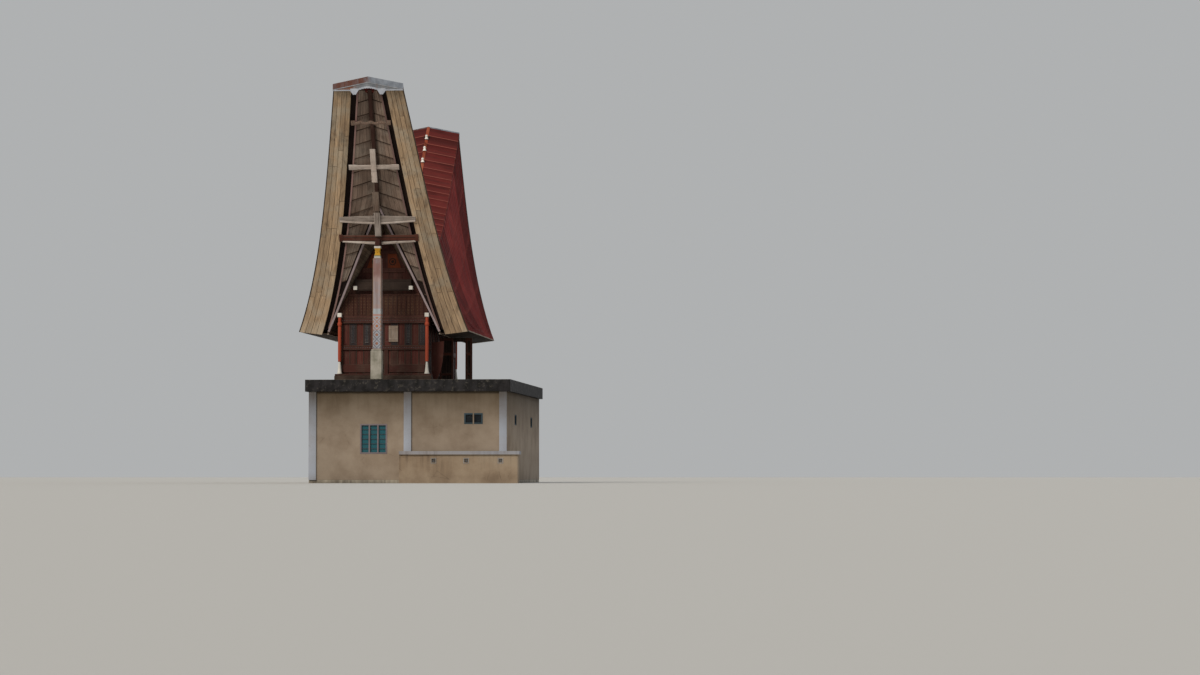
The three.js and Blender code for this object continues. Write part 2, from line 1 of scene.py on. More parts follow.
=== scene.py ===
"""The looks of a tongkonan house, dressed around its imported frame.

Metres. X runs across the house, Y along it with the front at -Y, and Z up. The heights in a
Shape count from its base, which is the top of the terrace slab unless it says otherwise.
"""
import logging
import math
import random
from bisect import bisect_left
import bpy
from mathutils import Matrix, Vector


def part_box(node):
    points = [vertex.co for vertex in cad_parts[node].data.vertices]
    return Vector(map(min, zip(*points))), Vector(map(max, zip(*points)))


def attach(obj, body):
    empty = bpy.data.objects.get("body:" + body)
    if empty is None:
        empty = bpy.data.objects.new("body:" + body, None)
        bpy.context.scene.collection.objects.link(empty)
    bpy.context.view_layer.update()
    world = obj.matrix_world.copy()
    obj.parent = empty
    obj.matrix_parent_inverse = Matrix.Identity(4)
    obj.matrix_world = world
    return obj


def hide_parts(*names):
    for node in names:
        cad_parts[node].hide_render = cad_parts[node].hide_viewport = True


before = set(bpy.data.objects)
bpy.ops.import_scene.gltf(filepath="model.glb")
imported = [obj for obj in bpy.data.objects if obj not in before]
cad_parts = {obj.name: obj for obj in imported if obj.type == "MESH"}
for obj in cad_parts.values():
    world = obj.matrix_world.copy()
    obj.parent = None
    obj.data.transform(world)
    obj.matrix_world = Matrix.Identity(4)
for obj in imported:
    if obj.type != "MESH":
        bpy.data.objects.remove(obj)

from copy import copy
from dataclasses import dataclass
from enum import Enum
from functools import cached_property, partial, reduce
from itertools import accumulate, pairwise, product
from typing import Any, Callable, Sequence

import bpy
from mathutils import Matrix, Vector, noise

LOG = logging.getLogger("tongkonan")
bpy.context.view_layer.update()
SLAB_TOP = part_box("terrace_slab")[1].z

# A distance at which an edge no longer shows wear
FAR = 1.0

# Boards narrower or shorter than these are left out
LEAST_WIDTH = 0.02
LEAST_LENGTH = 0.03

SMOOTH_ANGLE = math.radians(35)
SIDES = (("left", -1), ("right", 1))

Point = tuple[float, float, float]
Span = tuple[float, float]
Surface = Callable[[float, float], Point]
Colour = tuple[float, float, float, float]
Material = bpy.types.Material
Node = bpy.types.Node
Piece = bpy.types.Object
Socket = bpy.types.NodeSocket
Tree = bpy.types.NodeTree


class Axis(Enum):
    """The direction that a board's grain runs in."""

    X = 0
    Y = 1
    Z = 2


class Source(Enum):
    """Where a timber finish reads its grain: the board's own map, or the house's axes."""

    BOARD = "board"
    UPRIGHT = "upright"
    ACROSS = "across"
    LENGTHWISE = "lengthwise"


def srgb(code: str) -> Colour:
    """Turns six hexadecimal digits into the linear colour that a shader takes.

    Args:
        code: The digits.

    Returns:
        Red, green, blue and alpha.
    """
    levels = [int(code[i:i + 2], 16) / 255 for i in (0, 2, 4)]
    linear = [v / 12.92 if v <= 0.04045 else ((v + 0.055) / 1.055) ** 2.4 for v in levels]
    return (*linear, 1.0)


def between(a: float, b: float, share: float) -> float:
    """Returns the value that lies at a share of the way from a to b."""
    return a + (b - a) * share


def inset(span: Span, by: float) -> Span:
    """Returns a span without a length at each of its ends."""
    return (span[0] + by, span[1] - by)


def around(middle: float, half: float) -> Span:
    """Returns a span by its middle and half of its length."""
    return (middle - half, middle + half)


def steps(count: int, low: float = 0.0, high: float = 1.0) -> list[float]:
    """Returns count + 1 even values from low to high."""
    return [between(low, high, i / count) for i in range(count + 1)]


def lengths(points: Sequence[Vector]) -> list[float]:
    """Returns how far along a line each of its points lies."""
    return list(accumulate(((b - a).length for a, b in pairwise(points)), initial=0.0))


# Node trees

class Graph:
    """Short ways to add and link nodes in one tree."""

    def __init__(self, tree: Tree) -> None:
        """Takes the tree that it fills."""
        self.tree = tree

    def socket(self, name: str, kind: str, value: Any = None, way: str = "INPUT") -> str:
        """Adds an input or output to the tree itself.

        Args:
            name: Its name.
            kind: Its kind.
            value: Its start value.
            way: INPUT or OUTPUT.

        Returns:
            Its identifier.
        """
        made = self.tree.interface.new_socket(name, in_out=way, socket_type=f"NodeSocket{kind}")
        if value is not None:
            made.default_value = value
        return made.identifier

    def feed(self, socket: Socket, value: Any) -> None:
        """Links a socket to another one, or sets its constant.

        Args:
            socket: The input.
            value: A socket, a number, a vector or a written colour.
        """
        if isinstance(value, Socket):
            self.tree.links.new(value, socket)
        else:
            socket.default_value = srgb(value) if isinstance(value, str) else value

    def add(self, kind: str, values: dict[Any, Any] | None = None, **settings: Any) -> Node:
        """Adds a node.

        Args:
            kind: Its type.
            values: Sockets or constants for its inputs, by name or number.
            settings: Its properties.

        Returns:
            The node.
        """
        node = self.tree.nodes.new(kind)
        for key, value in settings.items():
            setattr(node, key, value)
        for key, value in (values or {}).items():
            self.feed(node.inputs[key], value)
        return node

    def use(self, tree: Tree, **values: Any) -> Any:
        """Places a shared group with its own values and returns its outputs."""
        return self.add("ShaderNodeGroup", values, node_tree=tree).outputs

    def math(self, operation: str, *values: Any, clamp: bool = False) -> Socket:
        """Returns the result of an operation on one to three numbers."""
        given = dict(enumerate((*values, 0.0, 0.0)[:3]))
        return self.add("ShaderNodeMath", given, operation=operation, use_clamp=clamp).outputs[0]

    def times(self, *values: Any) -> Any:
        """Returns the product of its values."""
        return reduce(partial(self.math, "MULTIPLY"), values)

    def plus(self, *values: Any) -> Any:
        """Returns the sum of its values."""
        return reduce(partial(self.math, "ADD"), values)

    def less(self, a: Any, b: Any) -> Socket:
        """Returns the first value without the second."""
        return self.math("SUBTRACT", a, b)

    def mix(self, share: Any, a: Any, b: Any, blend: str = "MIX") -> Socket:
        """Returns a colour mixed from two."""
        given = {0: share, 6: a, 7: b}
        return self.add("ShaderNodeMix", given, data_type="RGBA", blend_type=blend).outputs[2]

    def tint(self, colour: Any, towards: Any, *shares: Any) -> Socket:
        """Returns a colour turned towards another by the product of some shares."""
        return self.mix(self.times(*shares), colour, towards)

    def dim(self, colour: Any, value: Any) -> Socket:
        """Returns a colour made darker or lighter by a factor."""
        return self.mix(1.0, colour, self.vector(value, value, value), "MULTIPLY")

    def spread(self, value: Any, low: float, high: float, to_low: float = 0.0,
               to_high: float = 1.0) -> Socket:
        """Returns a value eased from one range to another, and held at its ends."""
        given = {"Value": value, "From Min": low, "From Max": high, "To Min": to_low, "To Max": to_high}
        return self.add("ShaderNodeMapRange", given, interpolation_type="SMOOTHSTEP").outputs[0]

    def band(self, value: Any, low: float, high: float, soft: float) -> Socket:
        """Returns 1 between two limits and 0 beyond them, with soft edges."""
        rise = self.spread(value, low - soft, low + soft)
        return self.times(rise, self.spread(value, high - soft, high + soft, 1.0, 0.0))

    def noise(self, vector: Any, scale: float, detail: float = 3.0, rough: float = 0.55) -> Socket:
        """Returns a cloudy value from 0 to 1."""
        given = {"Vector": vector, "Scale": scale, "Detail": detail, "Roughness": rough}
        return self.add("ShaderNodeTexNoise", given).outputs[0]

    def vector(self, x: Any = 0.0, y: Any = 0.0, z: Any = 0.0) -> Socket:
        """Returns a vector of three values."""
        return self.add("ShaderNodeCombineXYZ", {0: x, 1: y, 2: z}).outputs[0]

    def split(self, vector: Any) -> tuple[Socket, ...]:
        """Returns the three values of a vector."""
        return tuple(self.add("ShaderNodeSeparateXYZ", {0: vector}).outputs)

    def where(self) -> Socket:
        """Returns the place on the house, which stays with the surface."""
        return self.add("ShaderNodeTexCoord").outputs["Object"]

    def stored(self, name: str) -> Any:
        """Returns the outputs of a value that is stored on the mesh."""
        return self.add("ShaderNodeAttribute", attribute_name=name).outputs

    def mapped(self) -> Socket:
        """Returns the mesh's own map, in metres across and along the grain."""
        return self.add("ShaderNodeUVMap", uv_map="grain").outputs["UV"]

    def bump(self, height: Any, strength: float, depth: float = 0.006) -> Socket:
        """Returns the normal of a surface with a height."""
        given = {"Strength": strength, "Distance": depth, "Height": height}
        return self.add("ShaderNodeBump", given).outputs[0]


def new_group(name: str, fill: Callable[[Graph, Any], dict[str, Any]], **inputs: Any) -> Tree:
    """Builds a shader group that several finishes share.

    Args:
        name: Its name.
        fill: Adds its nodes and returns what feeds each output, all numbers.
        inputs: Its inputs, with a start value or None for a vector.

    Returns:
        The group.
    """
    g = Graph(bpy.data.node_groups.new(name, "ShaderNodeTree"))
    for key, value in inputs.items():
        g.socket(key, "Vector" if value is None else "Float", value)
    made = fill(g, g.add("NodeGroupInput").outputs)
    for key in made:
        g.socket(key, "Float", way="OUTPUT")
    g.add("NodeGroupOutput", made)
    return g.tree


def grain_nodes(g: Graph, given: Any) -> dict[str, Any]:
    """Adds wood fibres, broad figure and knots.

    Args:
        g: The group's graph.
        given: The outputs of its input node.

    Returns:
        What feeds each output.
    """
    u, v, _ = g.split(given["Vector"])
    seed = g.times(given["Seed"], 31.0)
    across = g.times(u, given["Fibre"])
    fine = g.vector(across, g.times(v, 1.6), seed)
    broad = g.vector(g.times(across, 0.16), g.times(v, 0.7), seed)
    bent = g.plus(g.noise(broad, 1.0, 2.0), g.times(g.noise(fine, 0.3, 1.0), 0.3))
    spots = g.vector(g.times(u, 5.0), g.times(v, 1.3), seed)
    cells = g.add("ShaderNodeTexVoronoi", {"Vector": spots, "Scale": 1.0})
    return {
        "Fibres": g.noise(fine, 1.0, 5.0, 0.65),
        "Figure": g.math("MULTIPLY_ADD", g.math("SINE", g.times(bent, 24.0)), 0.5, 0.5),
        "Knots": g.spread(cells.outputs["Distance"], 0.03, 0.11, 1.0, 0.0),
    }


def weather_nodes(g: Graph, given: Any) -> dict[str, Any]:
    """Adds large stains, runs from above and fine specks.

    Args:
        g: The group's graph.
        given: The outputs of its input node.

    Returns:
        What feeds each output.
    """
    axes = g.split(given["Vector"])
    large = g.vector(*(g.math("DIVIDE", axis, given["Size"]) for axis in axes))
    lengthened = g.vector(*(g.times(axis, scale) for axis, scale in zip(axes, (5.0, 5.0, 0.35))))
    return {
        "Blotches": g.noise(large, 1.0, 5.0, 0.6),
        "Streaks": g.noise(lengthened, 1.0, 4.0, 0.62),
        "Specks": g.noise(given["Vector"], 55.0, 2.0, 0.7),
    }


def edge_nodes(g: Graph, given: Any) -> dict[str, Any]:
    """Finds a board's edges from the distances stored on it.

    Args:
        g: The group's graph.
        given: The outputs of its input node.

    Returns:
        What feeds each output.
    """
    rim = g.stored("rim")
    left, right, start = g.split(rim["Color"])
    near = g.math("MINIMUM", g.math("MINIMUM", left, right), g.math("MINIMUM", start, rim["Alpha"]))
    rough = g.noise(given["Vector"], 14.0, 4.0)
    reach = g.times(given["Width"], g.math("MULTIPLY_ADD", rough, 2.6, -0.3))
    return {"Edge": g.math("SUBTRACT", 1.0, g.math("DIVIDE", near, reach), clamp=True)}


def motif_nodes(g: Graph, given: Any) -> dict[str, Any]:
    """Adds repeated diamonds round a four-petalled flower.

    Args:
        g: The group's graph.
        given: The outputs of its input node.

    Returns:
        What feeds each output.
    """
    u, v, _ = g.split(given["Vector"])
    across, up = (g.less(g.math("FRACT", g.math("DIVIDE", axis, given["Cell"])), 0.5) for axis in (u, v))
    diamond = g.plus(g.math("ABSOLUTE", across), g.math("ABSOLUTE", up))
    petals = g.math("COSINE", g.times(g.math("ARCTAN2", up, across), 4.0))
    radius = g.math("SQRT", g.plus(g.times(across, across), g.times(up, up)))
    return {
        "Lines": g.band(g.math("FRACT", g.times(diamond, 3.0)), 0.3, 0.62, 0.08),
        "Dots": g.spread(g.plus(radius, g.times(petals, 0.05)), 0.1, 0.14, 1.0, 0.0),
    }


def plank_nodes(g: Graph, given: Any) -> dict[str, Any]:
    """Adds seams at even places and a tone for each plank.

    Args:
        g: The group's graph.
        given: The outputs of its input node.

    Returns:
        What feeds each output.
    """
    at = g.math("DIVIDE", given["Place"], given["Width"])
    part = g.math("ABSOLUTE", g.less(g.math("FRACT", at), 0.5))
    tone = g.add("ShaderNodeTexWhiteNoise", {"W": g.math("FLOOR", at)}, noise_dimensions="1D")
    return {"Seam": g.spread(part, 0.45, 0.49), "Tone": tone.outputs["Value"]}


GRAIN = new_group("grain", grain_nodes, Vector=None, Fibre=60.0, Seed=0.0)
WEATHER = new_group("weather", weather_nodes, Vector=None, Size=1.0)
EDGE = new_group("edge", edge_nodes, Width=0.01, Vector=None)
MOTIF = new_group("motif", motif_nodes, Vector=None, Cell=0.1)
PLANKS = new_group("planks", plank_nodes, Place=0.0, Width=0.2)


# Finishes

class Finish:
    """What every finish does: it makes one material from what its coat feeds the shader."""

    name: str
    gloss = 0.22

    def material(self) -> Material:
        """Builds the material at its first use.

        Returns:
            The material.
        """
        made = bpy.data.materials.get(self.name)
        if made is None:
            made = bpy.data.materials.new(self.name)
            made.use_nodes = True
            made.node_tree.nodes.clear()
            g = Graph(made.node_tree)
            shader = g.add("ShaderNodeBsdfPrincipled", {"Specular IOR Level": self.gloss, **self.coat(g)})
            g.add("ShaderNodeOutputMaterial", {"Surface": shader.outputs["BSDF"]})
        return made

    def coat(self, g: Graph) -> dict[str, Any]:
        """Adds the finish's own nodes and returns what they feed, by the shader's inputs."""
        raise NotImplementedError


@dataclass(frozen=True)
class Timber(Finish):
    """Sawn wood, bare or painted, with grain, seams, runs and worn edges."""

    name: str
    light: str
    dark: str
    bleached: str
    paint: str | None = None
    worn: float = 0.35
    fibre: float = 60.0
    source: Source = Source.BOARD
    plank: float = 0.0
    tone_spread: float = 0.28
    edge_width: float = 0.010
    edge_share: float = 0.5
    edge_colour: str | None = None
    grime: float = 0.45
    bump: float = 0.5

    def coat(self, g: Graph) -> dict[str, Any]:
        """Adds grain, paint, edges and stains.

        Args:
            g: The material's graph.

        Returns:
            Values for the shader's inputs.
        """
        where = g.where()
        x, y, z = g.split(where)
        edge: Any = 0.0
        seam: Any = 0.0
        if self.source is Source.BOARD:
            vector = g.mapped()
            tone, seed, _ = g.split(g.stored("tone")["Color"])
            edge = g.use(EDGE, Width=self.edge_width, Vector=where)["Edge"]
        else:
            across, along = {
                Source.UPRIGHT: ((x, y), z), Source.ACROSS: ((z, y), x), Source.LENGTHWISE: ((z, x), y),
            }[self.source]
            beside = g.plus(*across)
            vector = g.vector(beside, along)
            planks = g.use(PLANKS, Place=beside, Width=self.plank or FAR)
            seed = tone = planks["Tone"]
            seam = planks["Seam"] if self.plank else 0.0
        grain = g.use(GRAIN, Vector=vector, Fibre=self.fibre, Seed=seed)
        fibres = grain["Fibres"]
        weather = g.use(WEATHER, Vector=where, Size=0.8)
        wood = g.mix(g.spread(fibres, 0.3, 0.7), self.dark, self.light)
        wood = g.tint(wood, self.dark, grain["Figure"], 0.35)
        wood = g.tint(wood, self.bleached, g.spread(weather["Blotches"], 0.42, 0.68), 0.75)
        colour = g.tint(wood, "2a1e16", grain["Knots"], 0.7)
        if self.paint:
            paint = g.tint(self.paint, self.dark, fibres, 0.35)
            lost = g.plus(g.times(weather["Blotches"], 0.7), g.times(fibres, 0.5), g.times(edge, 0.4))
            limit = 1.05 - self.worn
            colour = g.mix(g.spread(lost, limit - 0.1, limit + 0.1), paint, colour)
        darkest, lightest = 1.0 - self.tone_spread, 1.0 + 0.4 * self.tone_spread
        colour = g.dim(colour, g.spread(tone, 0.0, 1.0, darkest, lightest))
        colour = g.tint(colour, self.edge_colour or self.bleached, edge, self.edge_share)
        runs = g.times(g.spread(weather["Streaks"], 0.52, 0.72), self.grime)
        colour = g.mix(runs, colour, g.mix(0.7, colour, "17110d"))
        colour = g.tint(colour, "241a14", g.spread(weather["Specks"], 0.62, 0.75), 0.3)
        if self.plank:
            colour = g.tint(colour, "120d0a", seam, 0.85)
        height = g.less(g.plus(fibres, g.times(grain["Figure"], 0.25)), g.times(seam, 2.0))
        return {
            "Base Color": colour, "Roughness": g.spread(fibres, 0.2, 0.8, 0.72, 0.94),
            "Normal": g.bump(height, self.bump),
        }


@dataclass(frozen=True)
class Carved(Finish):
    """Painted carving in repeated diamonds and flowers, faded and smoked."""

    name: str
    ground: str
    line: str
    dot: str
    cell: float = 0.12
    strength: float = 0.7
    faded: float = 0.4

    def coat(self, g: Graph) -> dict[str, Any]:
        """Adds the carving, its paint and its wear.

        Args:
            g: The material's graph.

        Returns:
            Values for the shader's inputs.
        """
        where = g.where()
        x, y, z = g.split(where)
        flat = g.vector(g.plus(x, y), z)
        motif = g.use(MOTIF, Vector=flat, Cell=self.cell)
        weather = g.use(WEATHER, Vector=where, Size=0.5)
        fibres = g.use(GRAIN, Vector=flat, Fibre=70.0, Seed=0.3)["Fibres"]
        edge = g.use(EDGE, Width=0.008, Vector=where)["Edge"]
        kept = g.times(g.spread(weather["Blotches"], 0.3, 0.62, 1.0, 1.0 - self.faded), self.strength)
        colour = g.tint(self.ground, "1a100c", fibres, 0.5)
        colour = g.tint(colour, self.line, motif["Lines"], kept)
        colour = g.tint(colour, self.dot, motif["Dots"], kept)
        colour = g.tint(colour, "7d5a48", edge, 0.35)
        colour = g.tint(colour, "15100d", g.spread(weather["Streaks"], 0.5, 0.72), 0.45)
        height = g.plus(motif["Lines"], g.times(motif["Dots"], 1.2), g.times(fibres, 0.4))
        return {
            "Base Color": colour, "Roughness": g.spread(fibres, 0.2, 0.8, 0.6, 0.85),
            "Normal": g.bump(height, 0.7),
        }


@dataclass(frozen=True)
class PaintedMetal(Finish):
    """Coated roof sheet with faded runs and first rust, and painted light and shade at the laps: highlighted
    lips, courses lighter above each lip, dark joints as painted shadow.
    """

    name: str
    paint: str
    faded: str
    deep: str
    # Colour of the painted highlight along the lip of each lap.
    lip: str
    rust: str = "5a3020"
    rust_share: float = 0.25
    sheet: float = 0.84
    sheet_spread: float = 0.16
    mapped: bool = True
    rough: float = 0.72
    gloss = 0.1

    def coat(self, g: Graph) -> dict[str, Any]:
        """Adds the coat, its runs down the slope, and painted light and shade at the laps.

        Args:
            g: The material's graph.

        Returns:
            Values for the shader's inputs.
        """
        where = g.where()
        if self.mapped:
            s, t, _ = g.split(g.mapped())
            near = g.split(g.stored("rim")["Color"])[0]
        else:
            x, t, z = g.split(where)
            s, near = g.plus(x, z), FAR
        sheets = g.use(PLANKS, Place=s, Width=self.sheet)
        weather = g.use(WEATHER, Vector=where, Size=1.6)
        runs = g.noise(g.vector(g.times(s, 7.0), g.times(t, 0.45)), 1.0, 5.0, 0.6)
        fine = g.noise(g.vector(g.times(s, 40.0), g.times(t, 2.0)), 1.0, 2.0)
        colour = g.mix(g.spread(runs, 0.35, 0.66), self.deep, self.paint)
        colour = g.tint(colour, self.faded, g.spread(weather["Blotches"], 0.45, 0.72), 0.6)
        colour = g.tint(colour, self.faded, g.spread(fine, 0.5, 0.75), 0.25)
        tone = g.spread(sheets["Tone"], 0.0, 1.0, 0.96 - self.sheet_spread, 0.96 + self.sheet_spread)
        # A random tone for each sheet, then a dark line at each sheet joint: painted shadow under the lap.
        colour = g.tint(g.dim(colour, tone), "3d1512", sheets["Seam"], 0.55)
        # Painted light: each course is lighter just above its lip, and the lip itself takes a painted
        # highlight; some rust gathers there too.
        lip = g.spread(near, 0.010, 0.045, 1.0, 0.0)
        colour = g.tint(colour, self.faded, g.spread(near, 0.05, 0.42, 1.0, 0.0), 0.35)
        colour = g.tint(colour, self.lip, lip, 0.75)
        spots = g.times(g.spread(weather["Specks"], 0.6, 0.78), g.spread(weather["Blotches"], 0.5, 0.7))
        colour = g.tint(colour, self.rust, g.plus(spots, g.times(lip, 0.3)), self.rust_share)
        return {
            "Base Color": colour, "Roughness": g.spread(runs, 0.2, 0.8, self.rough - 0.1, self.rough + 0.2),
            "Normal": g.bump(g.plus(runs, g.times(fine, 0.3)), 0.25, 0.004),
        }


@dataclass(frozen=True)
class CapMetal(Finish):
    """Galvanised flashing, rusted red to the left of a place and in loose runs elsewhere."""

    name: str
    zinc: str
    dull: str
    rust: str
    rust_from: float = 0.1
    everywhere: float = 0.1

    def coat(self, g: Graph) -> dict[str, Any]:
        """Adds bare zinc, rust by side and runs.

        Args:
            g: The material's graph.

        Returns:
            Values for the shader's inputs.
        """
        where = g.where()
        weather = g.use(WEATHER, Vector=where, Size=0.35)
        at = g.plus(g.split(where)[0], g.times(weather["Blotches"], 0.5))
        side = g.spread(at, self.rust_from, self.rust_from + 0.3, 1.0, 0.0)
        loose = g.times(g.spread(weather["Streaks"], 0.5, 0.68), self.everywhere)
        patchy = g.times(side, g.spread(weather["Streaks"], 0.25, 0.6, 0.6, 1.0))
        rust = g.math("ADD", patchy, loose, clamp=True)
        metal = g.mix(g.spread(weather["Blotches"], 0.35, 0.65), self.dull, self.zinc)
        rusty = g.mix(g.spread(weather["Specks"], 0.4, 0.7), self.rust, "4a2a20")
        return {
            "Base Color": g.mix(rust, metal, rusty), "Roughness": g.spread(rust, 0.0, 1.0, 0.42, 0.85),
            "Metallic": g.spread(rust, 0.0, 1.0, 0.45, 0.0), "Normal": g.bump(weather["Specks"], 0.3, 0.003),
        }


@dataclass(frozen=True)
class Masonry(Finish):
    """Render or concrete with trowel marks, damp at its foot and dark runs from its top; where given, painted
    shade towards its top and a painted highlight along its top edge.
    """

    name: str
    base: str
    second: str
    stain: str
    top: float
    run_length: float = 0.8
    run_share: float = 0.5
    foot: float = 0.0
    foot_rise: float = 0.6
    blotch: float = 0.5
    blotch_size: float = 1.2
    # Second colour: the pilasters' and the plinth ledge's paint, and on the slab a painted highlight along
    # its top edge.
    accent_and_highlight: str | None = None
    accent_bands: tuple[Span, ...] = ()
    accent_from: float = 0.0
    accent_and_highlight_above: float | None = None
    rough: float = 0.9
    bump: float = 0.5
    # Share and depth of the painted shade that darkens the coat towards its top, standing for the shadow
    # under an overhang.
    painted_shade: float = 0.0
    painted_shade_depth: float = 2.0
    fleck: str | None = None

    def coat(self, g: Graph) -> dict[str, Any]:
        """Adds the coat, its stains, the parts painted otherwise, and where given a painted highlight along
        the top edge and painted shade towards the top.

        Args:
            g: The material's graph.

        Returns:
            Values for the shader's inputs.
        """
        where = g.where()
        x, y, z = g.split(where)
        weather = g.use(WEATHER, Vector=where, Size=self.blotch_size)
        blotches, streaks, specks = (weather[key] for key in ("Blotches", "Streaks", "Specks"))
        colour = g.mix(g.spread(blotches, 0.35, 0.68), self.base, self.second)
        mask: Any = 0.0
        for low, high in self.accent_bands:
            mask = g.math("MAXIMUM", mask, g.band(x, low, high, 0.004))
        if self.accent_bands:
            mask = g.times(mask, g.spread(g.math("ABSOLUTE", y), self.accent_from, self.accent_from + 0.01))
        # Above a height the second colour is laid on: the plinth ledge's paint, and on the slab a painted
        # highlight along its top edge.
        if self.accent_and_highlight_above is not None:
            mask = g.math("MAXIMUM", mask, g.spread(z, self.accent_and_highlight_above, self.accent_and_highlight_above + 0.01))
        if self.accent_and_highlight:
            tint = g.mix(g.spread(blotches, 0.3, 0.7), self.accent_and_highlight, self.second)
            colour = g.mix(mask, colour, g.mix(0.25, self.accent_and_highlight, tint))
        high = g.spread(z, self.top - self.run_length, self.top)
        runs = g.times(g.spread(streaks, 0.42, 0.66), g.times(high, self.run_share))
        low = g.spread(z, self.foot, self.foot + self.foot_rise, 1.0, 0.0)
        damp = g.times(g.spread(blotches, 0.3, 0.6), g.times(low, self.run_share))
        cracks = g.add("ShaderNodeTexVoronoi", {"Vector": where, "Scale": 0.9}, feature="DISTANCE_TO_EDGE")
        hairline = g.spread(cracks.outputs["Distance"], 0.0, 0.006, 1.0, 0.0)
        crack = g.times(hairline, g.spread(blotches, 0.52, 0.6))
        spots = g.times(g.spread(blotches, 0.5, 0.75), self.blotch, g.spread(streaks, 0.35, 0.6),
                        g.math("MULTIPLY_ADD", mask, -0.7, 1.0))
        dirt = g.math("ADD", g.plus(runs, damp), g.plus(spots, g.times(crack, 0.5)), clamp=True)
        colour = g.mix(dirt, colour, self.stain)
        colour = g.tint(colour, self.stain, g.spread(specks, 0.58, 0.72), 0.25)
        # Painted shade: the colour darkens towards the top, standing for the shadow under the overhanging
        # slab.
        if self.painted_shade:
            rise = g.less(g.plus(z, g.times(blotches, 0.2)), self.top)
            near_top = g.math("MULTIPLY_ADD", rise, 1 / self.painted_shade_depth, 1.0, clamp=True)
            colour = g.tint(colour, "372b17", g.math("POWER", near_top, 1.4), self.painted_shade)
        if self.fleck:
            lichen = g.times(g.spread(g.noise(where, 6.0, 4.0, 0.7), 0.54, 0.66), g.spread(specks, 0.4, 0.6))
            colour = g.tint(colour, self.fleck, lichen, 0.55)
        height = g.plus(g.times(g.noise(where, 120.0, 2.0), 0.35), g.less(g.noise(where, 9.0), crack))
        return {
            "Base Color": colour, "Roughness": g.spread(dirt, 0.0, 1.0, self.rough, self.rough - 0.15),
            "Normal": g.bump(height, self.bump),
        }


@dataclass(frozen=True)
class PostPaint(Finish):
    """Old oil paint on the post: worn mauve-grey over wood, with painted figures lower down."""

    name: str
    ground: str
    bare: str
    figure: str
    second: str
    low: float
    high: float
    cell: float = 0.33
    shift: float = 0.09

    def coat(self, g: Graph) -> dict[str, Any]:
        """Adds the ground, the painted figures and the flaked edges.

        Args:
            g: The material's graph.

        Returns:
            Values for the shader's inputs.
        """
        where = g.where()
        x, y, z = g.split(where)
        up = g.less(z, self.low)
        flat = g.vector(g.less(g.plus(x, self.shift), g.math("ABSOLUTE", y)), up)
        large = g.use(MOTIF, Vector=flat, Cell=self.cell)
        small = g.use(MOTIF, Vector=flat, Cell=self.cell / 3)
        weather = g.use(WEATHER, Vector=where, Size=0.3)
        blotches = weather["Blotches"]
        fibres = g.use(GRAIN, Vector=flat, Fibre=55.0, Seed=0.6)["Fibres"]
        edge = g.use(EDGE, Width=0.03, Vector=where)["Edge"]
        rise = g.plus(up, g.times(blotches, 0.3))
        colour = g.mix(g.spread(rise, self.high + 1.5, self.high + 1.8), "aa9692", self.ground)
        colour = g.tint(colour, "6f5f60", fibres, 0.45)
        colour = g.tint(colour, "8c9299", g.spread(blotches, 0.46, 0.6), 0.4)
        colour = g.mix(g.band(up, self.high, self.high + 0.32, 0.03), colour, "a3a9ae")
        colour = g.tint(colour, "b07464", g.band(up, self.high + 0.04, self.high + 0.12, 0.01), 0.7)
        shown = g.band(up, -0.02, self.high, 0.02)
        colour = g.tint(colour, "aaaeb6", shown, 0.85)
        paint = g.mix(g.spread(up, self.cell * 2 - 0.01, self.cell * 2 + 0.01), self.second, self.figure)
        colour = g.tint(colour, paint, shown, large["Lines"], 0.85)
        colour = g.tint(colour, self.figure, shown, large["Dots"], 0.9)
        detail = g.times(small["Lines"], g.less(1.0, large["Lines"]))
        colour = g.tint(colour, self.second, shown, detail, 0.35)
        flaked = g.plus(g.times(blotches, 0.6), g.times(edge, 0.5))
        colour = g.mix(g.spread(flaked, 0.54, 0.68), colour, self.bare)
        colour = g.tint(colour, "6b4a3d", g.spread(weather["Streaks"], 0.5, 0.7), 0.4)
        return {
            "Base Color": colour, "Roughness": g.spread(fibres, 0.2, 0.8, 0.6, 0.9),
            "Normal": g.bump(g.less(fibres, flaked), 0.4, 0.004),
        }


@dataclass(frozen=True)
class Pane(Finish):
    """Dusty window glass."""

    name: str
    tint: str
    clear: float
    gloss = 0.2

    def coat(self, g: Graph) -> dict[str, Any]:
        """Adds the tint and the dust.

        Args:
            g: The material's graph.

        Returns:
            Values for the shader's inputs.
        """
        dust = g.noise(g.where(), 2.5, 5.0)
        return {
            "Base Color": g.mix(g.spread(dust, 0.4, 0.8, 0.0, 0.2), self.tint, "55605f"),
            "Roughness": g.spread(dust, 0.3, 0.8, 0.08, 0.35),
            "Transmission Weight": self.clear, "IOR": 1.45,
        }


def pilaster_bands(half: float = 0.14, margin: float = 0.004) -> tuple[Span, ...]:
    """Returns the left and right of the three pilasters, with a margin."""
    left, right = (corner.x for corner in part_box("base_front_wall"))
    return tuple((x - half - margin, x + half + margin) for x in steps(2, left + half, right - half))


BARGE = Timber("barge_planks", "cbad8a", "8a735c", "aea18d", edge_width=0.005, edge_share=0.45,
               edge_colour="4a3d30", grime=0.55, tone_spread=0.20, fibre=45.0)
BARGE_EDGE = Timber("barge_edge", "4a3a2d", "2c211a", "5a4d40", grime=0.5)
GABLE_BOARD = Timber("soffit_boards", "9e8879", "6e5b4e", "97897c", edge_share=0.3, edge_colour="3a2c22",
                     fibre=80.0, tone_spread=0.25)
BATTEN = Timber("gable_battens", "46342a", "2a1e17", "57473a", grime=0.4)
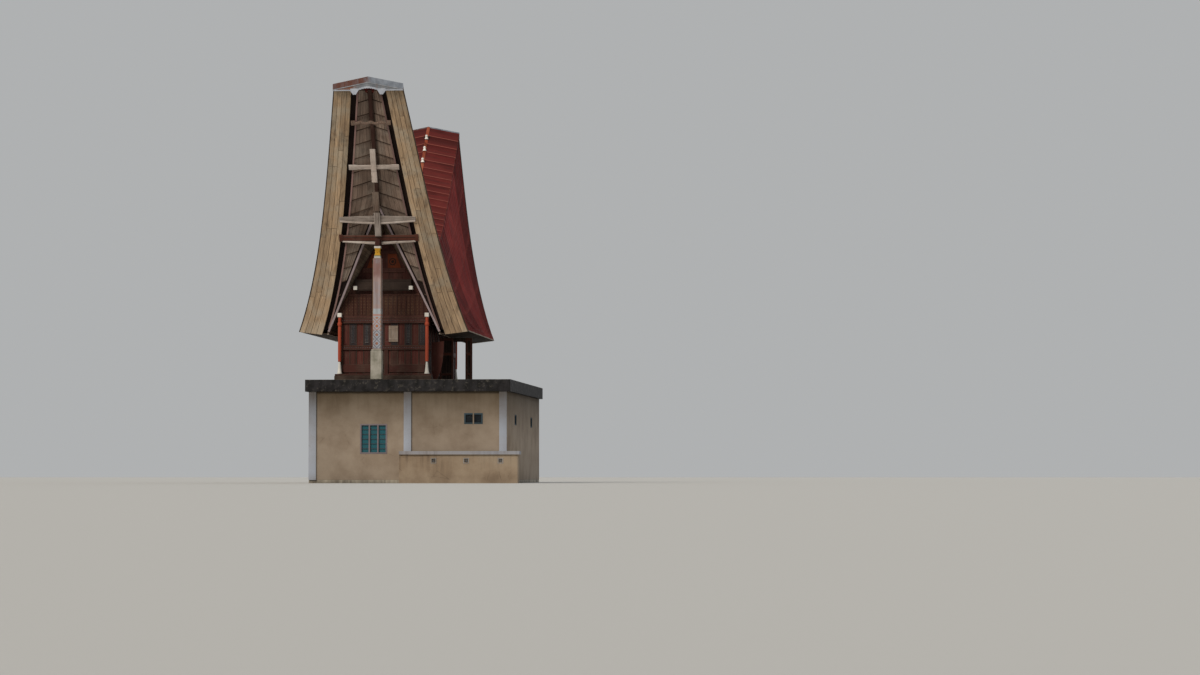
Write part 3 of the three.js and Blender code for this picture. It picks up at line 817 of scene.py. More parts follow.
# Near-black board in the gaps beside and behind the soffit boards: painted shade for the dark depth there.
GAP_SHADE_BOARD = Timber("gap_shade_board", "2a1c17", "1a110e", "33241d", grime=0.3)
TRIM = Timber("gable_trim", "8a6e66", "573f3a", "98837a", "8f706a", 0.3)
LEG = Timber("opening_edge", "a08d8a", "6a565a", "b3a6a4", "b5a3a4", 0.28)
RIDGE = Timber("ridge_beam", "4b362c", "2a1d17", "5c4a40", "4c2f27", 0.4)
CARVED_BEAM = Carved("carved_beam", "8d7c72", "b07a4e", "c9b49a", 0.1, 0.6)
GREY_BEAM = Timber("grey_beam", "b2a49a", "6d6159", "b5aaa0", tone_spread=0.2, grime=0.5)
BROWN_BEAM = Timber("brown_post", "7a675a", "4a3b31", "8a7a6d", grime=0.5)
PALE_BEAM = Timber("pale_beam", "dccbbf", "a8988c", "ded2c8", tone_spread=0.12, grime=0.25)
TIE_TIMBER = Timber("tie_timber", "34261f", "1c130f", "3f322b", grime=0.5)
RED_BEAM = Timber("red_beam", "5f463b", "35241d", "6f574c", "673a2d")
DARK_BOARD = Timber("dark_boards", "43332a", "241a15", "54463c", grime=0.4)
RED_BOARD = Timber("red_boards", "5a4036", "31201b", "6c4f45", "5a2b24", tone_spread=0.22)
RED_DARK = Timber("dark_red_boards", "4a3128", "2a1a16", "553f35", "4d2821", 0.4, tone_spread=0.3)
STILE = Carved("carved_stiles", "2f2829", "4b4448", "6a6464", 0.09, 0.55)
CARVED_RED = Carved("carved_panels", "41241d", "6a4631", "8a7358", 0.115, 0.5)
RAIL = Carved("carved_rails", "4c2a23", "6a4236", "8a6e55", 0.11, 0.35)
ORANGE_PANEL = Carved("orange_panel", "7c3818", "5e2812", "4a2215", 0.14, 0.5)
DISC = Timber("panel_disc", "3a241a", "1d120d", "4a3a2d", "2b1a14", 0.2)
SHUTTER = Timber("shutter", "a3907d", "77675a", "a99c90", tone_spread=0.2, grime=0.3)
ORANGE = Timber("orange_post", "8a4a33", "4d2a1e", "c07a5c", "a2462f", 0.22, grime=0.4)
WHITE = Timber("white_paint", "d0cabf", "a49d90", "e4dfd6", "dcd7ce", 0.15, grime=0.3, edge_share=0.2)
YELLOW = Timber("yellow_paint", "b98a2e", "7c5a20", "d6b35a", "c4932a", 0.25, grime=0.3)
GREEN_BAND = Timber("green_paint", "6f7f6c", "4a5648", "9aa692", "6d8573", 0.3)
POST = PostPaint("painted_post", "866660", "846c59", "a8622f", "4d535c", SLAB_TOP + 1.2, 1.16)
STUD_GREY = Timber("stud_grey", "5d5c5e", "38383a", "74736f", source=Source.UPRIGHT, grime=0.5)
STUD_OCHRE = Timber("stud_ochre", "7a5230", "42281a", "927a58", "6a3f24", 0.4, source=Source.UPRIGHT,
                    grime=0.5)
WHITE_FINIAL = Timber("white_finial", "e2ddd2", "b5aea0", "f0ece4", "ece8df", 0.15, source=Source.UPRIGHT,
                      grime=0.3)
RED_WING = Timber("red_wing", "5a3a2e", "35221a", "8a7062", "5c3028", source=Source.UPRIGHT)
# The fourth colour of each roof sheet is the painted highlight on the lips of the laps.
ROOF_SIDE = PaintedMetal("roof_side_sheet", "7a2f2d", "873e3a", "632726", "84392f", sheet_spread=0.27)
ROOF_TOP = PaintedMetal("roof_top_sheet", "5e2220", "6d2e2a", "431917", "96584c", rust_share=0.3, sheet=9.0)
ROLL = PaintedMetal("roof_roll", "5e2822", "74392e", "471c18", "8a5044", rust_share=0.4, mapped=False)
RIDGE_CAP = PaintedMetal("ridge_capping", "8a4230", "a3634a", "65301f", "a97058", rust_share=0.6,
                         mapped=False)
CAP_BAND = CapMetal("cap_band", "8a9099", "6f757e", "6b483e")
CAP_FACE = CapMetal("cap_face", "83868a", "686b70", "7c5646", -0.35, 0.4)
CAP_LINE = CapMetal("cap_fold", "9da0a4", "83868b", "855a47", -2.5, 0.3)
SCALLOP = CapMetal("cap_scallop", "b2b6be", "989ca4", "a07866", -2.5, 0.12)
FLOOR_BOARD = Timber("floor_planks", "7d6a52", "4d3f30", "8b7d69", source=Source.LENGTHWISE, plank=0.16)
TENT_BOARD = Timber("tent_boards", "85705e", "4f4034", "8d7d6c", source=Source.LENGTHWISE, plank=0.19)
# The render's painted shade darkens its wall towards the slab above it.
RENDER = Masonry("cream_render", "9a8b7a", "897968", "5c4c40", SLAB_TOP - 0.45, 1.3, 0.25, accent_and_highlight="a5abb6",
                 accent_bands=pilaster_bands(), accent_from=5.955, blotch=0.1, painted_shade=0.8)
PLASTER = Masonry("grey_screed", "a39b8b", "8d8576", "4f473d", 0.12, foot_rise=0.3)
PLINTH = Masonry("plinth_render", "9c8b76", "8b7863", "51443a", 1.07, 0.8, 0.25, accent_and_highlight="93949a",
                 accent_and_highlight_above=1.068, blotch=0.3)
# The slab's lighter strip along its top edge is a painted highlight.
SLAB = Masonry("slab_concrete", "2d2b2c", "1d1b1b", "0e0d0c", SLAB_TOP, 0.5, 0.8, foot=-9.0, blotch=0.9,
               blotch_size=0.3, accent_and_highlight="5d564b", accent_and_highlight_above=SLAB_TOP - 0.012, bump=0.8, fleck="6e685e")
POST_BASE = Masonry("post_base_concrete", "a49e93", "8f897c", "5f6052", SLAB_TOP + 1.15, 0.9, 0.4,
                    SLAB_TOP, 0.5, blotch=0.35, blotch_size=0.4)
LEDGE = Masonry("ledge_paint", "999ca0", "888b8e", "5a5852", 1.2)
GLASS = Pane("window_pane", "0a1118", 0.3)
TEAL_GLASS = Pane("teal_pane", "29626c", 0.2)
WINDOW = Timber("window_timber", "2c3b41", "1c282d", "41525a", "162832", 0.2, grime=0.3)
WIDE_FRAME = Timber("wide_window_timber", "776a6c", "4c4245", "8b8082", "675a60", 0.25, grime=0.35)
WINDOW_BAR = Timber("window_bar", "5d5a60", "3a363a", "7d7a80", "4d4a50", 0.2, source=Source.ACROSS)


# Meshes

def eased(across: Span, up: Span, cut: float) -> list[Span]:
    """Returns the outline of a rectangle with its corners cut off.

    Args:
        across: Its left and right.
        up: Its bottom and top.
        cut: How much each corner loses.

    Returns:
        Its eight corners in order.
    """
    (left, right), (low, high) = across, up
    return [(left + cut, low), (right - cut, low), (right, low + cut), (right, high - cut),
            (right - cut, high), (left + cut, high), (left, high - cut), (left, low + cut)]


class Shape:
    """Closed solids that become one mesh, with grain, edge and tone values on their corners."""

    def __init__(self, seed: int, finish: Finish, base: float = SLAB_TOP) -> None:
        """Starts without a solid.

        Args:
            seed: The seed of its dice.
            finish: The finish of the solids that have none of their own.
            base: The level that its heights count from.
        """
        self.finish, self.base = finish, base
        self.dice = random.Random(seed)
        self.points: list[Vector] = []
        self.faces: list[tuple[int, ...]] = []
        self.grain: list[list[Span]] = []
        self.rims: list[list[tuple[float, ...]]] = []
        self.tones: list[Span] = []
        self.finishes: list[Finish] = []

    def at(self, point: Point) -> Vector:
        """Returns a point with its height counted from the ground."""
        x, y, z = point
        return Vector((x, y, self.base + z))

    def add(self, points: Sequence[Vector], faces: Sequence[tuple[int, ...]], grain: Sequence[list[Span]],
            rims: Sequence[list[tuple[float, ...]]], finish: Finish | None) -> None:
        """Adds one closed solid and turns its faces outwards.

        Args:
            points: The solid's corners.
            faces: Corner numbers of each face.
            grain: Map places for each corner of each face.
            rims: Distances to four edges for each corner of each face.
            finish: The solid's own finish.
        """
        fans = ((face[0], *pair) for face in faces for pair in pairwise(face[1:]))
        volume = sum(points[a].dot(points[b].cross(points[c])) for a, b, c in fans)
        turn = 1 if volume > 0 else -1
        start = len(self.points)
        tone = (self.dice.random(), self.dice.random())
        self.points.extend(points)
        for face, places, edges in zip(faces, grain, rims):
            self.faces.append(tuple(start + i for i in face)[::turn])
            self.grain.append(places[::turn])
            self.rims.append(edges[::turn])
            self.tones.append(tone)
            self.finishes.append(finish or self.finish)

    def loft(self, sections: Sequence[Sequence[Point]], finish: Finish | None = None,
             rounded: bool = False, upright: bool = True) -> None:
        """Adds a solid through closed sections, with its grain along it.

        Args:
            sections: Outlines with the same number of points, in order along the solid.
            finish: Its own finish.
            rounded: Whether the sides have no edges that wear.
            upright: Whether the grain on the two end faces runs up and down.
        """
        rings = [[self.at(point) for point in ring] for ring in sections]
        count = len(rings[0])
        run = lengths([sum(ring, Vector()) / count for ring in rings])
        girths = [lengths([*ring, ring[0]]) for ring in rings]
        shift = self.dice.uniform(0, 40)
        faces, grain, rims = [], [], []
        for i, k in product(range(len(rings) - 1), range(count)):
            corners = ((i, 0), (i, 1), (i + 1, 1), (i + 1, 0))
            faces.append(tuple(j * count + (k + side) % count for j, side in corners))
            grain.append([(shift + girths[j][k + side], shift + run[j]) for j, side in corners])
            wide = [FAR if rounded else girths[j][k + 1] - girths[j][k] for j, _ in corners]
            near = FAR if rounded else 0.0
            rims.append([
                (*((w, near) if side else (near, w)), run[j], run[-1] - run[j])
                for (j, side), w in zip(corners, wide)
            ])
        for i, order in ((0, range(count - 1, -1, -1)), (len(rings) - 1, range(count))):
            faces.append(tuple(i * count + k for k in order))
            flat = [(shift + rings[i][k].x + rings[i][k].y, shift + rings[i][k].z) for k in order]
            grain.append(flat if upright else [(v, u) for u, v in flat])
            rims.append([(FAR,) * 4] * count)
        self.add([p for ring in rings for p in ring], faces, grain, rims, finish)

    def block(self, x: Span, y: Span, z: Span, along: Axis = Axis.Z, cut: float = 0.006,
              finish: Finish | None = None) -> None:
        """Adds a squared timber with all its edges eased.

        Args:
            x: Its two ends across the house, in any order.
            y: Its two ends along the house, in any order.
            z: Its bottom and top.
            along: The way its grain runs.
            cut: How far the edges are cut back.
            finish: Its own finish.
        """
        sizes = [sorted(span) for span in (x, y, z)]
        cut = min(cut, 0.3 * min(high - low for low, high in sizes))
        (start, end), across, up = sizes[along.value:] + sizes[:along.value]
        sections = []
        for at, by in ((start, cut), (start + cut, 0), (end - cut, 0), (end, cut)):
            turned = [(at, *corner) for corner in eased(inset(across, by), inset(up, by), cut)]
            sections.append([tuple(corner[(i - along.value) % 3] for i in range(3)) for corner in turned])
        self.loft(sections, finish)

    def plate(self, outline: Sequence[Span], y0: float, y1: float, finish: Finish | None = None,
              ease: float = 0.0, upright: bool = True) -> None:
        """Adds a flat outline of X and Z with a thickness along Y.

        Args:
            outline: Corners in order.
            y0: Front face.
            y1: Back face.
            finish: Its own finish.
            ease: How far the front edge is cut back towards the middle.
            upright: Whether the grain runs up and down.
        """
        middle = [sum(values) / len(outline) for values in zip(*outline)]
        front = []
        for corner in outline:
            kept = 1 - ease / math.dist(corner, middle)
            front.append(tuple(between(m, v, kept) for m, v in zip(middle, corner)))
        rings = [(front, y0), (outline, y0 + ease), (outline, y1)]
        self.loft([[(x, y, z) for x, z in ring] for ring, y in rings], finish, upright=upright)

    def turned_solid(self, profile: Sequence[Span], x: float, y: float, sides: int,
                     finish: Finish | None = None) -> None:
        """Adds a solid turned about an upright axis.

        Args:
            profile: Radius and height of each ring, upwards.
            x: Place of the axis.
            y: Place of the axis.
            sides: Number of sides.
            finish: Its own finish.
        """
        turns = [math.tau * (k + 0.5) / sides for k in range(sides)]
        rings = [[(x + r * math.cos(t), y + r * math.sin(t), z) for t in turns] for r, z in profile]
        self.loft(rings, finish, rounded=sides > 8)

    def sheet(self, columns: Sequence[float], rows: Sequence[float], outer: Surface, inner: Surface,
              grain: Callable[[float, float], Span], lip: Callable[[float, float], float] | None = None,
              finish: Finish | None = None) -> None:
        """Adds a closed sheet between two surfaces.

        Args:
            columns: Values of the first variable.
            rows: Values of the second variable.
            outer: The surface that shows.
            inner: The surface behind it.
            grain: Map place of a pair of values.
            lip: Distance to the nearest lapped edge.
            finish: Its own finish.
        """
        across = len(columns)
        count = across * len(rows)
        points = [self.at(surface(a, b)) for surface in (outer, inner) for b in rows for a in columns]
        faces = []
        for left, i in product(range(0, count - across, across), range(across - 1)):
            k = left + i
            back = count + k
            faces.append((k, k + 1, k + across + 1, k + across))
            faces.append((back, back + across, back + across + 1, back + 1))
        for k in range(across - 1):
            top = count - across + k
            faces += [(k, count + k, count + k + 1, k + 1), (top, top + 1, count + top + 1, count + top)]
        for left in range(0, count - across, across):
            right = left + across - 1
            faces.append((left, left + across, count + left + across, count + left))
            faces.append((right, count + right, count + right + across, right + across))
        pairs = [[(columns[i % count % across], rows[i % count // across]) for i in face] for face in faces]
        places = [[grain(a, b) for a, b in face] for face in pairs]
        rims = [[(lip(a, b) if lip else FAR, FAR, FAR, FAR) for a, b in face] for face in pairs]
        self.add(points, faces, places, rims, finish)

    def turned_half(self) -> "Shape":
        """Turns a copy half round, for the rear of the house.

        Returns:
            The copy.
        """
        turned = copy(self)
        turned.points = [Vector((-p.x, -p.y, p.z)) for p in self.points]
        return turned

    def emit(self, name: str, slot: str, *nodes: str) -> None:
        """Makes the mesh and its object, and puts it on the frame.

        Args:
            name: The piece's name.
            slot: The record's material slot.
            nodes: The CAD nodes that it stands for.
        """
        mesh = bpy.data.meshes.new(name)
        mesh.from_pydata(self.points, [], self.faces)
        layer = mesh.uv_layers.new(name="grain")
        layer.data.foreach_set("uv", [v for face in self.grain for corner in face for v in corner])
        tones = [[(*tone, 0.0, 1.0)] * len(face) for face, tone in zip(self.faces, self.tones)]
        for key, values in (("rim", self.rims), ("tone", tones)):
            stored = mesh.attributes.new(key, "FLOAT_COLOR", "CORNER")
            stored.data.foreach_set("color", [v for face in values for corner in face for v in corner])
        finishes = list(dict.fromkeys(self.finishes))
        for finish in finishes:
            mesh.materials.append(finish.material())
        mesh.polygons.foreach_set("material_index", [finishes.index(finish) for finish in self.finishes])
        smooth(mesh)
        place(link(name, mesh), slot, *nodes)


def smooth(mesh: bpy.types.Mesh) -> None:
    """Shades a mesh smooth, apart from its sharp edges.

    Args:
        mesh: The mesh.
    """
    mesh.polygons.foreach_set("use_smooth", [True] * len(mesh.polygons))
    mesh.set_sharp_from_angle(angle=SMOOTH_ANGLE)
    mesh.update()


def link(name: str, data: Any) -> Piece:
    """Makes an object of a mesh, a light or a camera and links it to the scene.

    Args:
        name: Its name.
        data: What it shows.

    Returns:
        The object.
    """
    made = bpy.data.objects.new(name, data)
    bpy.context.scene.collection.objects.link(made)
    return made


def settle(piece: Piece) -> None:
    """Turns a piece with modifiers into a plain smooth mesh.

    Args:
        piece: The piece.
    """
    depsgraph = bpy.context.evaluated_depsgraph_get()
    mesh = bpy.data.meshes.new_from_object(piece.evaluated_get(depsgraph))
    piece.modifiers.clear()
    piece.data = mesh
    smooth(mesh)


def place(piece: Piece, slot: str, *nodes: str) -> None:
    """Puts a piece on the frame.

    Args:
        piece: The finished piece.
        slot: The record's material slot; not used.
        nodes: The CAD nodes that it stands for.
    """
    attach(piece, "root")
    if nodes:
        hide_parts(*nodes)
    LOG.info("%s: %d faces", piece.name, len(piece.data.polygons))


def dress(node: str, finish: Finish) -> None:
    """Gives a CAD node that is shown as it is a finish.

    Args:
        node: The node.
        finish: The finish.
    """
    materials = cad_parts[node].data.materials
    materials.clear()
    materials.append(finish.material())
    LOG.info("%s: dressed", node)


def both_ends(shape: Shape, name: str, slot: str, node: str) -> None:
    """Emits a piece for the front and the same one, turned half round, for the rear."""
    for end, solid in (("front", shape), ("rear", shape.turned_half())):
        solid.emit(f"{end}_{name}", slot, f"{end}_{node}")


def softened(name: str, slot: str, finish: Finish, ease: float, node: str) -> None:
    """Makes a copy of a CAD node with eased edges, in its place.

    Args:
        name: The piece's name.
        slot: The record's material slot.
        finish: Its finish.
        ease: Width of the eased edge.
        node: The node.
    """
    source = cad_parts[node].data
    keys = [tuple(round(v, 5) for v in vertex.co) for vertex in source.vertices]
    points: dict[tuple[float, ...], Vector] = {}
    for key, vertex in zip(keys, source.vertices):
        points.setdefault(key, vertex.co.copy())
    number = {key: i for i, key in enumerate(points)}
    mesh = bpy.data.meshes.new(name)
    faces = [[number[keys[i]] for i in face.vertices] for face in source.polygons]
    mesh.from_pydata(list(points.values()), [], faces)
    mesh.materials.append(finish.material())
    piece = link(name, mesh)
    bevel = piece.modifiers.new("ease", "BEVEL")
    bevel.width, bevel.segments = ease, 2
    bevel.limit_method, bevel.angle_limit = "ANGLE", SMOOTH_ANGLE
    settle(piece)
    place(piece, slot, node)


# Repeats, made by Geometry Nodes

class Repeat:
    """A geometry tree that repeats a small shape, with named inputs for its sizes."""

    def __init__(self, name: str, fill: Callable[[Graph, Any], Socket], **inputs: Any) -> None:
        """Builds the tree.

        Args:
            name: Its name.
            fill: Adds its nodes and returns the geometry before the finish is set.
            inputs: Its inputs, with their start values.
        """
        g = Graph(bpy.data.node_groups.new(name, "GeometryNodeTree"))
        kinds = {float: "Float", int: "Int", tuple: "Vector"}
        g.socket("Geometry", "Geometry")
        self.tree = g.tree
        self.sockets = {key: g.socket(key, kinds[type(value)], value) for key, value in inputs.items()}
        self.sockets["Material"] = g.socket("Material", "Material")
        g.socket("Geometry", "Geometry", way="OUTPUT")
        given = g.add("NodeGroupInput").outputs
        real = g.add("GeometryNodeRealizeInstances", {"Geometry": fill(g, given)})
        bare = {"Geometry": real.outputs[0], "Material": given["Material"]}
        g.add("NodeGroupOutput", {"Geometry": g.add("GeometryNodeSetMaterial", bare).outputs[0]})

    def make(self, name: str, slot: str, finish: Finish, paths: Sequence[Sequence[Point]],
             base: float = SLAB_TOP, **values: Any) -> None:
        """Runs the tree along paths and puts its result on the frame.

        Args:
            name: The piece's name.
            slot: The record's material slot.
            finish: Its finish.
            paths: The points of each path. A path of one point is a place of its own.
            base: The level that the heights count from.
            values: The inputs' values.
        """
        edges, start = [], 0
        for path in paths:
            edges += pairwise(range(start, start + len(path)))
            start += len(path)
        mesh = bpy.data.meshes.new(name)
        mesh.from_pydata([(x, y, base + z) for path in paths for x, y, z in path], edges, [])
        piece = link(name, mesh)
        modifier = piece.modifiers.new("repeat", "NODES")
        modifier.node_group = self.tree
        for key, value in {"Material": finish.material(), **values}.items():
            modifier[self.sockets[key]] = value
        settle(piece)
        place(piece, slot)


def rolled_edge(g: Graph, given: Any) -> Socket:
    """Sweeps a round section along each path.

    Args:
        g: The tree.
        given: Its inputs.

    Returns:
        The geometry.
    """
    curve = g.add("GeometryNodeMeshToCurve", {"Mesh": given["Geometry"]}).outputs[0]
    size = {"Resolution": given["Sides"], "Radius": given["Radius"]}
    ring = g.add("GeometryNodeCurvePrimitiveCircle", size)
    swept = {"Curve": curve, "Profile Curve": ring.outputs["Curve"], "Fill Caps": True}
    return g.add("GeometryNodeCurveToMesh", swept).outputs[0]


def finial_row(g: Graph, given: Any) -> Socket:
    """Sets a small turned finial at even distances along each path.

    Args:
        g: The tree.
        given: Its inputs.

    Returns:
        The geometry.
    """
    size = given["Size"]
    curve = g.add("GeometryNodeMeshToCurve", {"Mesh": given["Geometry"]}).outputs[0]
    points = g.add("GeometryNodeCurveToPoints", {"Curve": curve, "Length": given["Spacing"]}, mode="LENGTH")
    top, bottom, height, radius, rise = (g.times(size, share) for share in (0.16, 0.42, 0.7, 0.3, 0.72))
    foot = {"Vertices": 12, "Radius Top": top, "Radius Bottom": bottom, "Depth": height}
    ball = g.add("GeometryNodeMeshIcoSphere", {"Radius": radius, "Subdivisions": 2}).outputs[0]
    raised = g.add("GeometryNodeTransform", {"Geometry": ball, "Translation": g.vector(z=rise)})
    join = g.add("GeometryNodeJoinGeometry")
    for part in (g.add("GeometryNodeMeshCone", foot), raised):
        g.feed(join.inputs[0], part.outputs[0])
    row = {"Points": points.outputs["Points"], "Instance": join.outputs[0]}
    return g.add("GeometryNodeInstanceOnPoints", row).outputs[0]


def stud_row(g: Graph, given: Any) -> Socket:
    """Sets a low pyramid on each point, turned outwards, with its own size.

    Args:
        g: The tree.
        given: Its inputs.

    Returns:
        The geometry.
    """
    points = g.add("GeometryNodeMeshToPoints", {"Mesh": given["Geometry"]}).outputs[0]
    stud = g.add("GeometryNodeMeshCone", {
        "Vertices": given["Sides"], "Radius Top": g.times(given["Radius"], 0.35),
        "Radius Bottom": given["Radius"], "Depth": given["Height"],
    })
    limits = {2: given["Least"], 3: 1.0, "Seed": given["Seed"]}
    scale = g.add("FunctionNodeRandomValue", limits, data_type="FLOAT")
    row = {"Points": points, "Instance": stud.outputs[0], "Rotation": given["Turn"],
           "Scale": scale.outputs[1]}
    return g.add("GeometryNodeInstanceOnPoints", row).outputs[0]


def slat_row(g: Graph, given: Any) -> Socket:
    """Sets equal bars at even steps from each point.

    Args:
        g: The tree.
        given: Its inputs.

    Returns:
        The geometry.
    """
    line = g.add("GeometryNodeMeshLine", {"Count": given["Count"], "Offset": given["Step"]}, mode="OFFSET")
    bar = g.add("GeometryNodeMeshCube", {"Size": given["Size"]})
    row = g.add("GeometryNodeInstanceOnPoints", {"Points": line.outputs[0], "Instance": bar.outputs[0]})
    rows = {"Points": given["Geometry"], "Instance": row.outputs[0]}
    return g.add("GeometryNodeInstanceOnPoints", rows).outputs[0]


ROLLS = Repeat("rolls", rolled_edge, Radius=0.02, Sides=10)
FINIALS = Repeat("finials", finial_row, Spacing=0.6, Size=0.14)
STUDS = Repeat("studs", stud_row, Radius=0.02, Height=0.012, Sides=4, Turn=(0.0, 0.0, 0.0), Least=0.8,
               Seed=3)
SLATS = Repeat("slats", slat_row, Count=4, Step=(0.0, 0.0, 0.1), Size=(0.5, 0.02, 0.02))


# The roof's form

@dataclass(frozen=True)
class RoofForm:
    """The rule that the roof follows.

    f runs from 0 at the eave to 1 at the tip of the leaning front edge, and Y is a distance from the
    middle of the house.
    """

    eave_z: float = 1.935
    tip_z: float = 10.82
    middle_z: float = 5.2
    bend: float = 3.5
    eave_half_width: float = 3.281
    top_half_width: float = 1.299
    eave_half_length: float = 4.2
    tip_half_length: float = 8.15
    lean_power: float = 1.25
    straight_share: float = 0.75
    flare_power: int = 4
    shell: float = 0.11
    strip: float = 0.08
    strip_rise: float = 0.27
    strip_lap: float = 0.015
    barge_thickness: float = 0.06
    barge_top: float = 0.67
    barge_extra: float = 0.23
    drop: float = 0.045
    inner_drop: float = 0.11
    soffit_side: float = 0.19
    soffit_edge: float = 0.12
    soffit_centre: float = 0.42
    soffit_thickness: float = 0.05
    foot_x: float = 2.15
    foot_z: float = 1.83
    middle_taper: float = 0.15
    apex_middle: float = 4.75
    apex_end: float = 6.55

    def fold(self, y: float) -> float:
        """Returns the height of the fold line between side and top."""
        risen, full = (math.hypot(self.bend, at) - self.bend for at in (y, self.tip_half_length))
        return self.middle_z + (self.tip_z - self.middle_z) * risen / full

    def half_width(self, f: float) -> float:
        """Returns how far the side stands from the middle."""
        flare = between((1 - f) ** self.flare_power, 1 - f, self.straight_share)
        return between(self.top_half_width, self.eave_half_width, flare)

    def reach(self, f: float) -> float:
        """Returns how far the front edge leans out."""
        return between(self.eave_half_length, self.tip_half_length, max(f, 0.0) ** self.lean_power)

    def edge_z(self, f: float) -> float:
        """Returns the height of the front edge."""
        return between(self.eave_z, self.tip_z, f)

    def edge_f(self, z: float) -> float:
        """Returns f at a height of the front edge."""
        return (z - self.eave_z) / (self.tip_z - self.eave_z)

    def edge_y(self, z: float) -> float:
        """Returns the Y of the front edge at a height."""
        return -self.reach(self.edge_f(z))

    def barge_width(self, f: float) -> float:
        """Returns the width of the bargeboard."""
        return self.barge_top + self.barge_extra * (1 - f)

    @cached_property
    def side_top(self) -> float:
        """Finds, step by step, where the front edge of the sides meets the top strip.

        Returns:
            f at that place.
        """
        f = 1.0
        for _ in range(60):
            f = self.edge_f(self.fold(self.reach(f) - self.barge_thickness))
        return f

    def side(self, side: int, u: float, b: float, depth: float) -> Point:
        """Returns a point of a roof side.

        Args:
            side: -1 or 1.
            u: -1 at the front edge to 1 at the rear edge.
            b: 0 at the eave to 1 at the fold.
            depth: Depth under the outer face.

        Returns:
            The point.
        """
        f = b * self.side_top
        top = self.fold(u * (self.reach(self.side_top) - self.barge_thickness))
        y = u * (self.reach(f) - self.barge_thickness)
        return (side * (self.half_width(f) - depth), y, between(self.eave_z, top, b))

    def board(self, side: int, a: float, f: float, back: float) -> Point:
        """Returns a point of the front bargeboard.

        Args:
            side: -1 or 1.
            a: 0 at its outer edge to 1 at its inner edge.
            f: How far up it.
            back: Depth behind its face.

        Returns:
            The point.
        """
        fall = (self.drop + self.inner_drop * a) * (1 - f) ** 3
        x = side * (self.half_width(f) - a * self.barge_width(f))
        return (x, back - self.reach(f), self.edge_z(f) - fall)

    def opening(self, z: float) -> float:
        """Returns the half-width of the inverted V opening."""
        return max(self.foot_x * (self.apex_end - z) / (self.apex_end - self.foot_z), 0.0)

    def soffit_outer(self, z: float) -> float:
        """Returns how far the boarded soffit reaches from the middle at a height."""
        f = self.edge_f(z)
        return self.half_width(f) - self.barge_width(f) - self.soffit_side

    def soffit_y(self, x: float, z: float) -> float:
        """Returns the Y of the soffit's front face."""
        share = min(abs(x) / self.soffit_outer(z), 1.0)
        return self.edge_y(z) + between(self.soffit_centre, self.soffit_edge, share)

    def tent(self, x: float, y: float) -> float:
        """Returns the height of the inner boarding's underside over a point of the plan.

        Args:
            x: Distance from the middle.
            y: Distance along the house.

        Returns:
            The height.
        """
        low, high = 0.0, 1.0
        z = self.apex_middle
        for _ in range(24):
            b = (low + high) / 2
            end_z = max(between(self.apex_end, self.foot_z, b), self.eave_z)
            reach = abs(self.soffit_y(b * self.foot_x, end_z)) - self.soffit_thickness / 2
            v = min(abs(y) / reach, 1.0)
            foot = self.foot_x - self.middle_taper * (1 - v * v)
            z = between(between(self.apex_middle, self.apex_end, v * v), self.foot_z, b)
            if b * foot < abs(x):
                low = b
            else:
                high = b
        return z

    def tent_half(self, z: float, y: float) -> float:
        """Returns how far the inner boarding lets a wall reach.

        Args:
            z: The wall's height.
            y: Its place along the house.

        Returns:
            The distance from the middle.
        """
        low, high = 0.0, self.foot_x
        for _ in range(20):
            x = (low + high) / 2
            if self.tent(x, y) > z:
                low = x
            else:
                high = x
        return low


FORM = RoofForm()


# Sub-assemblies

